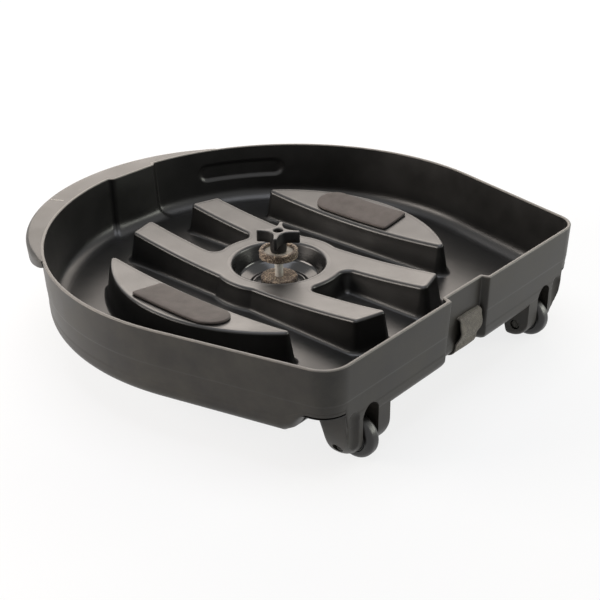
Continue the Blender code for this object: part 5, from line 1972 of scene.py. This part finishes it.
@dataclass
class Pads:
    """The foam pads on the crescent lands: one end square, one end round, following the bow."""

    inner: float = 0.151
    half: float = 0.024
    square: float = 0.054
    round_end: float = 0.078
    thick: float = 0.003
    lift: float = 0.0003

    def loop(self, side: int, inset: float) -> Points:
        """Plan of a pad drawn in by `inset`.

        Args:
            side: -1 left, 1 right.
            inset: Distance inside the pad's edge.

        Returns:
            Closed loop, anticlockwise.
        """
        half = self.half - inset
        centre = self.round_end - self.half
        end = self.square - inset
        loop = np.concatenate((
            line((half, -end + 0.005), (half, centre), 26)[:-1],
            bend((0.0, centre), half, 0.0, math.pi, 28),
            line((-half, centre), (-half, -end + 0.005), 26)[1:-1],
            eased((-half, centre), (-half, -end), (half, -end), 0.005, 6),
            line((-half + 0.005, -end), (half - 0.005, -end), 10)[1:-1],
            eased((-half, -end), (half, -end), (half, centre), 0.005, 6)[:-1],
        ))
        # The round end points to +Y on the right and to -Y on the left, a half turn
        return loop * side + (side * (self.inner + self.half), POST_Y)

    def build(self, paints: Paints, shell: Shell) -> None:
        """Makes both pads with soft upper edges.

        Args:
            paints: The finishes.
            shell: Gives the bow they lie on.
        """
        for side, hand in ((-1, "left"), (1, "right")):
            rows = []
            for inset, up in (
                (0.0009, 0.0),
                (0.0002, 0.0003),
                (0.0, 0.0009),
                (0.0001, 0.0019),
                (0.0004, 0.0026),
                (0.0009, 0.0030),
                (0.0016, 0.0032),
            ):
                plan = self.loop(side, inset)
                rows.append(np.column_stack((plan, shell.bowed(plan, -self.lift - up))))
            skin = Skin()
            skin.rows(np.stack(rows))
            skin.fill([rows[-1][:, :2]], lambda plan: shell.bowed(plan, -self.lift - 0.0032), 0.01)
            skin.fill([rows[0][:, :2]], lambda plan: shell.bowed(plan, -self.lift), 0.01, flip=True)
            piece = skin.build("foam_pad_" + hand, paints, Look.FOAM, 60.0)
            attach(piece, "case")
            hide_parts("pad_" + hand)


@dataclass
class Strap:
    """The webbing at the flat wall: a band of even thickness along a path in Y and Z, with a sag."""

    x: float = 0.011
    half: float = 0.021
    thick: float = 0.0022

    def path(self) -> Points:
        """Centre line: a loop round its bar, out through the wall, down the groove and under the base.

        Returns:
            Points in Y and Z.
        """
        loop = bend((-0.2568, 0.0951), 0.0039, -math.pi / 2, math.pi / 2, 16)
        over = bend((-0.26631, 0.0946), 0.0044, math.pi / 2, math.pi, 10)
        share = np.linspace(0.0, 1.0, 28)[1:-1]
        ease = share**2 * (3 - 2 * share)
        sag = 0.0040 * np.sin(np.pi * share) ** 2
        fall = np.stack((-0.27071 + 0.00529 * ease - sag, 0.0946 - 0.0326 * share), -1)
        under = bend((-0.25202, 0.0620), 0.0134, math.pi, 1.5 * math.pi, 16)
        return np.concatenate(
            (
                [(-0.25998, 0.0912)],
                loop,
                over,
                fall,
                under,
                line((-0.252, 0.0486), (-0.21202, 0.0486), 12)[1:],
            )
        )

    def build(self, paints: Paints) -> None:
        """Makes the band with rounded selvedges and a UV map in metres along and across it.

        Args:
            paints: The finishes.
        """
        path = self.path()
        step = np.gradient(path, axis=0)
        step /= np.linalg.norm(step, axis=1, keepdims=True)
        normal = np.stack((step[:, 1], -step[:, 0]), -1)
        length = np.concatenate(([0.0], np.cumsum(np.linalg.norm(np.diff(path, axis=0), axis=1))))
        half, thick = self.half, self.thick / 2
        edge = bend((half - thick, 0.0), thick, -math.pi / 2, math.pi / 2, 6)
        across = np.concatenate(
            (
                line((-half + thick, -thick), (half - thick, -thick), 24)[:-1],
                edge,
                line((half - thick, thick), (-half + thick, thick), 24)[1:-1],
                -edge,
            )
        )
        wave = 0.0002 * np.sin(across[None, :, 0] * 160 + length[:, None] * 90)
        lift = across[None, :, 1] + wave
        grid = np.stack((
            self.x + across[None, :, 0] + 0 * lift,
            path[:, None, 0] + normal[:, None, 0] * lift,
            path[:, None, 1] + normal[:, None, 1] * lift,
        ), -1)
        skin = Skin()
        skin.rows(grid)
        skin.push(grid[0], np.arange(grid.shape[1])[None, ::-1])
        skin.push(grid[-1], np.arange(grid.shape[1])[None])
        piece = skin.build("strap_webbing", paints, Look.WEBBING_PAINTED_SHEEN, 50.0)
        mesh = piece.data
        spots = np.empty(len(mesh.vertices) * 3)
        mesh.vertices.foreach_get("co", spots)
        spots = spots.reshape(-1, 3)
        yz = spots[:, 1:] + (MIDDLE_Y, 0.0)
        nearest = np.argmin(np.hypot(*(yz[:, None] - path[None]).transpose(2, 0, 1)), axis=1)
        loops = np.empty(len(mesh.loops), int)
        mesh.loops.foreach_get("vertex_index", loops)
        layer = mesh.uv_layers.new(name="weave")
        layer.data.foreach_set("uv", np.stack((length[nearest][loops], spots[:, 0][loops]), -1).ravel())
        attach(piece, "case")
        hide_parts("strap_front")


NODE_LOOKS: dict[str, Look] = {
    "base_shell": Look.SHELL_PAINTED_DARKER,
    "pad": Look.FOAM,
    "felt_washer": Look.ZINC,
    "felt": Look.FELT,
    "post_bolt": Look.STEEL,
    "post": Look.ZINC,
    "knob_insert": Look.BRASS,
    "knob": Look.KNOB,
    "strap_front": Look.WEBBING_PAINTED_SHEEN,
    "strap": Look.STEEL,
    "wheel_tyre": Look.TYRE,
    "wheel_hub": Look.HUB,
    "wheel_bush": Look.BRONZE,
    "wheel_washer": Look.ZINC,
    "axle": Look.BLACK,
}


def dress_nodes(paints: Paints) -> None:
    """Gives every CAD node its finish.

    Args:
        paints: The finishes.
    """
    for name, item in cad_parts.items():
        start = next(key for key in NODE_LOOKS if name.startswith(key))
        paints.dress(item, NODE_LOOKS[start])


def main() -> None:
    """Builds the studio and the case."""
    logging.basicConfig(level=logging.INFO, format="%(message)s")
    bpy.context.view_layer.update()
    Studio().build()
    paints = Paints()
    dress_nodes(paints)
    shell = Shell()
    for piece in shell.tray(paints) + shell.undercarriage(paints):
        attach(piece, "case")
        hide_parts("base_shell")
    for side, hand in ((-1, "left"), (1, "right")):
        Wheel().build(paints, side, hand)
    Clamp().build(paints)
    Pads().build(paints, shell)
    Strap().build(paints)


if __name__ == "__main__":
    main()
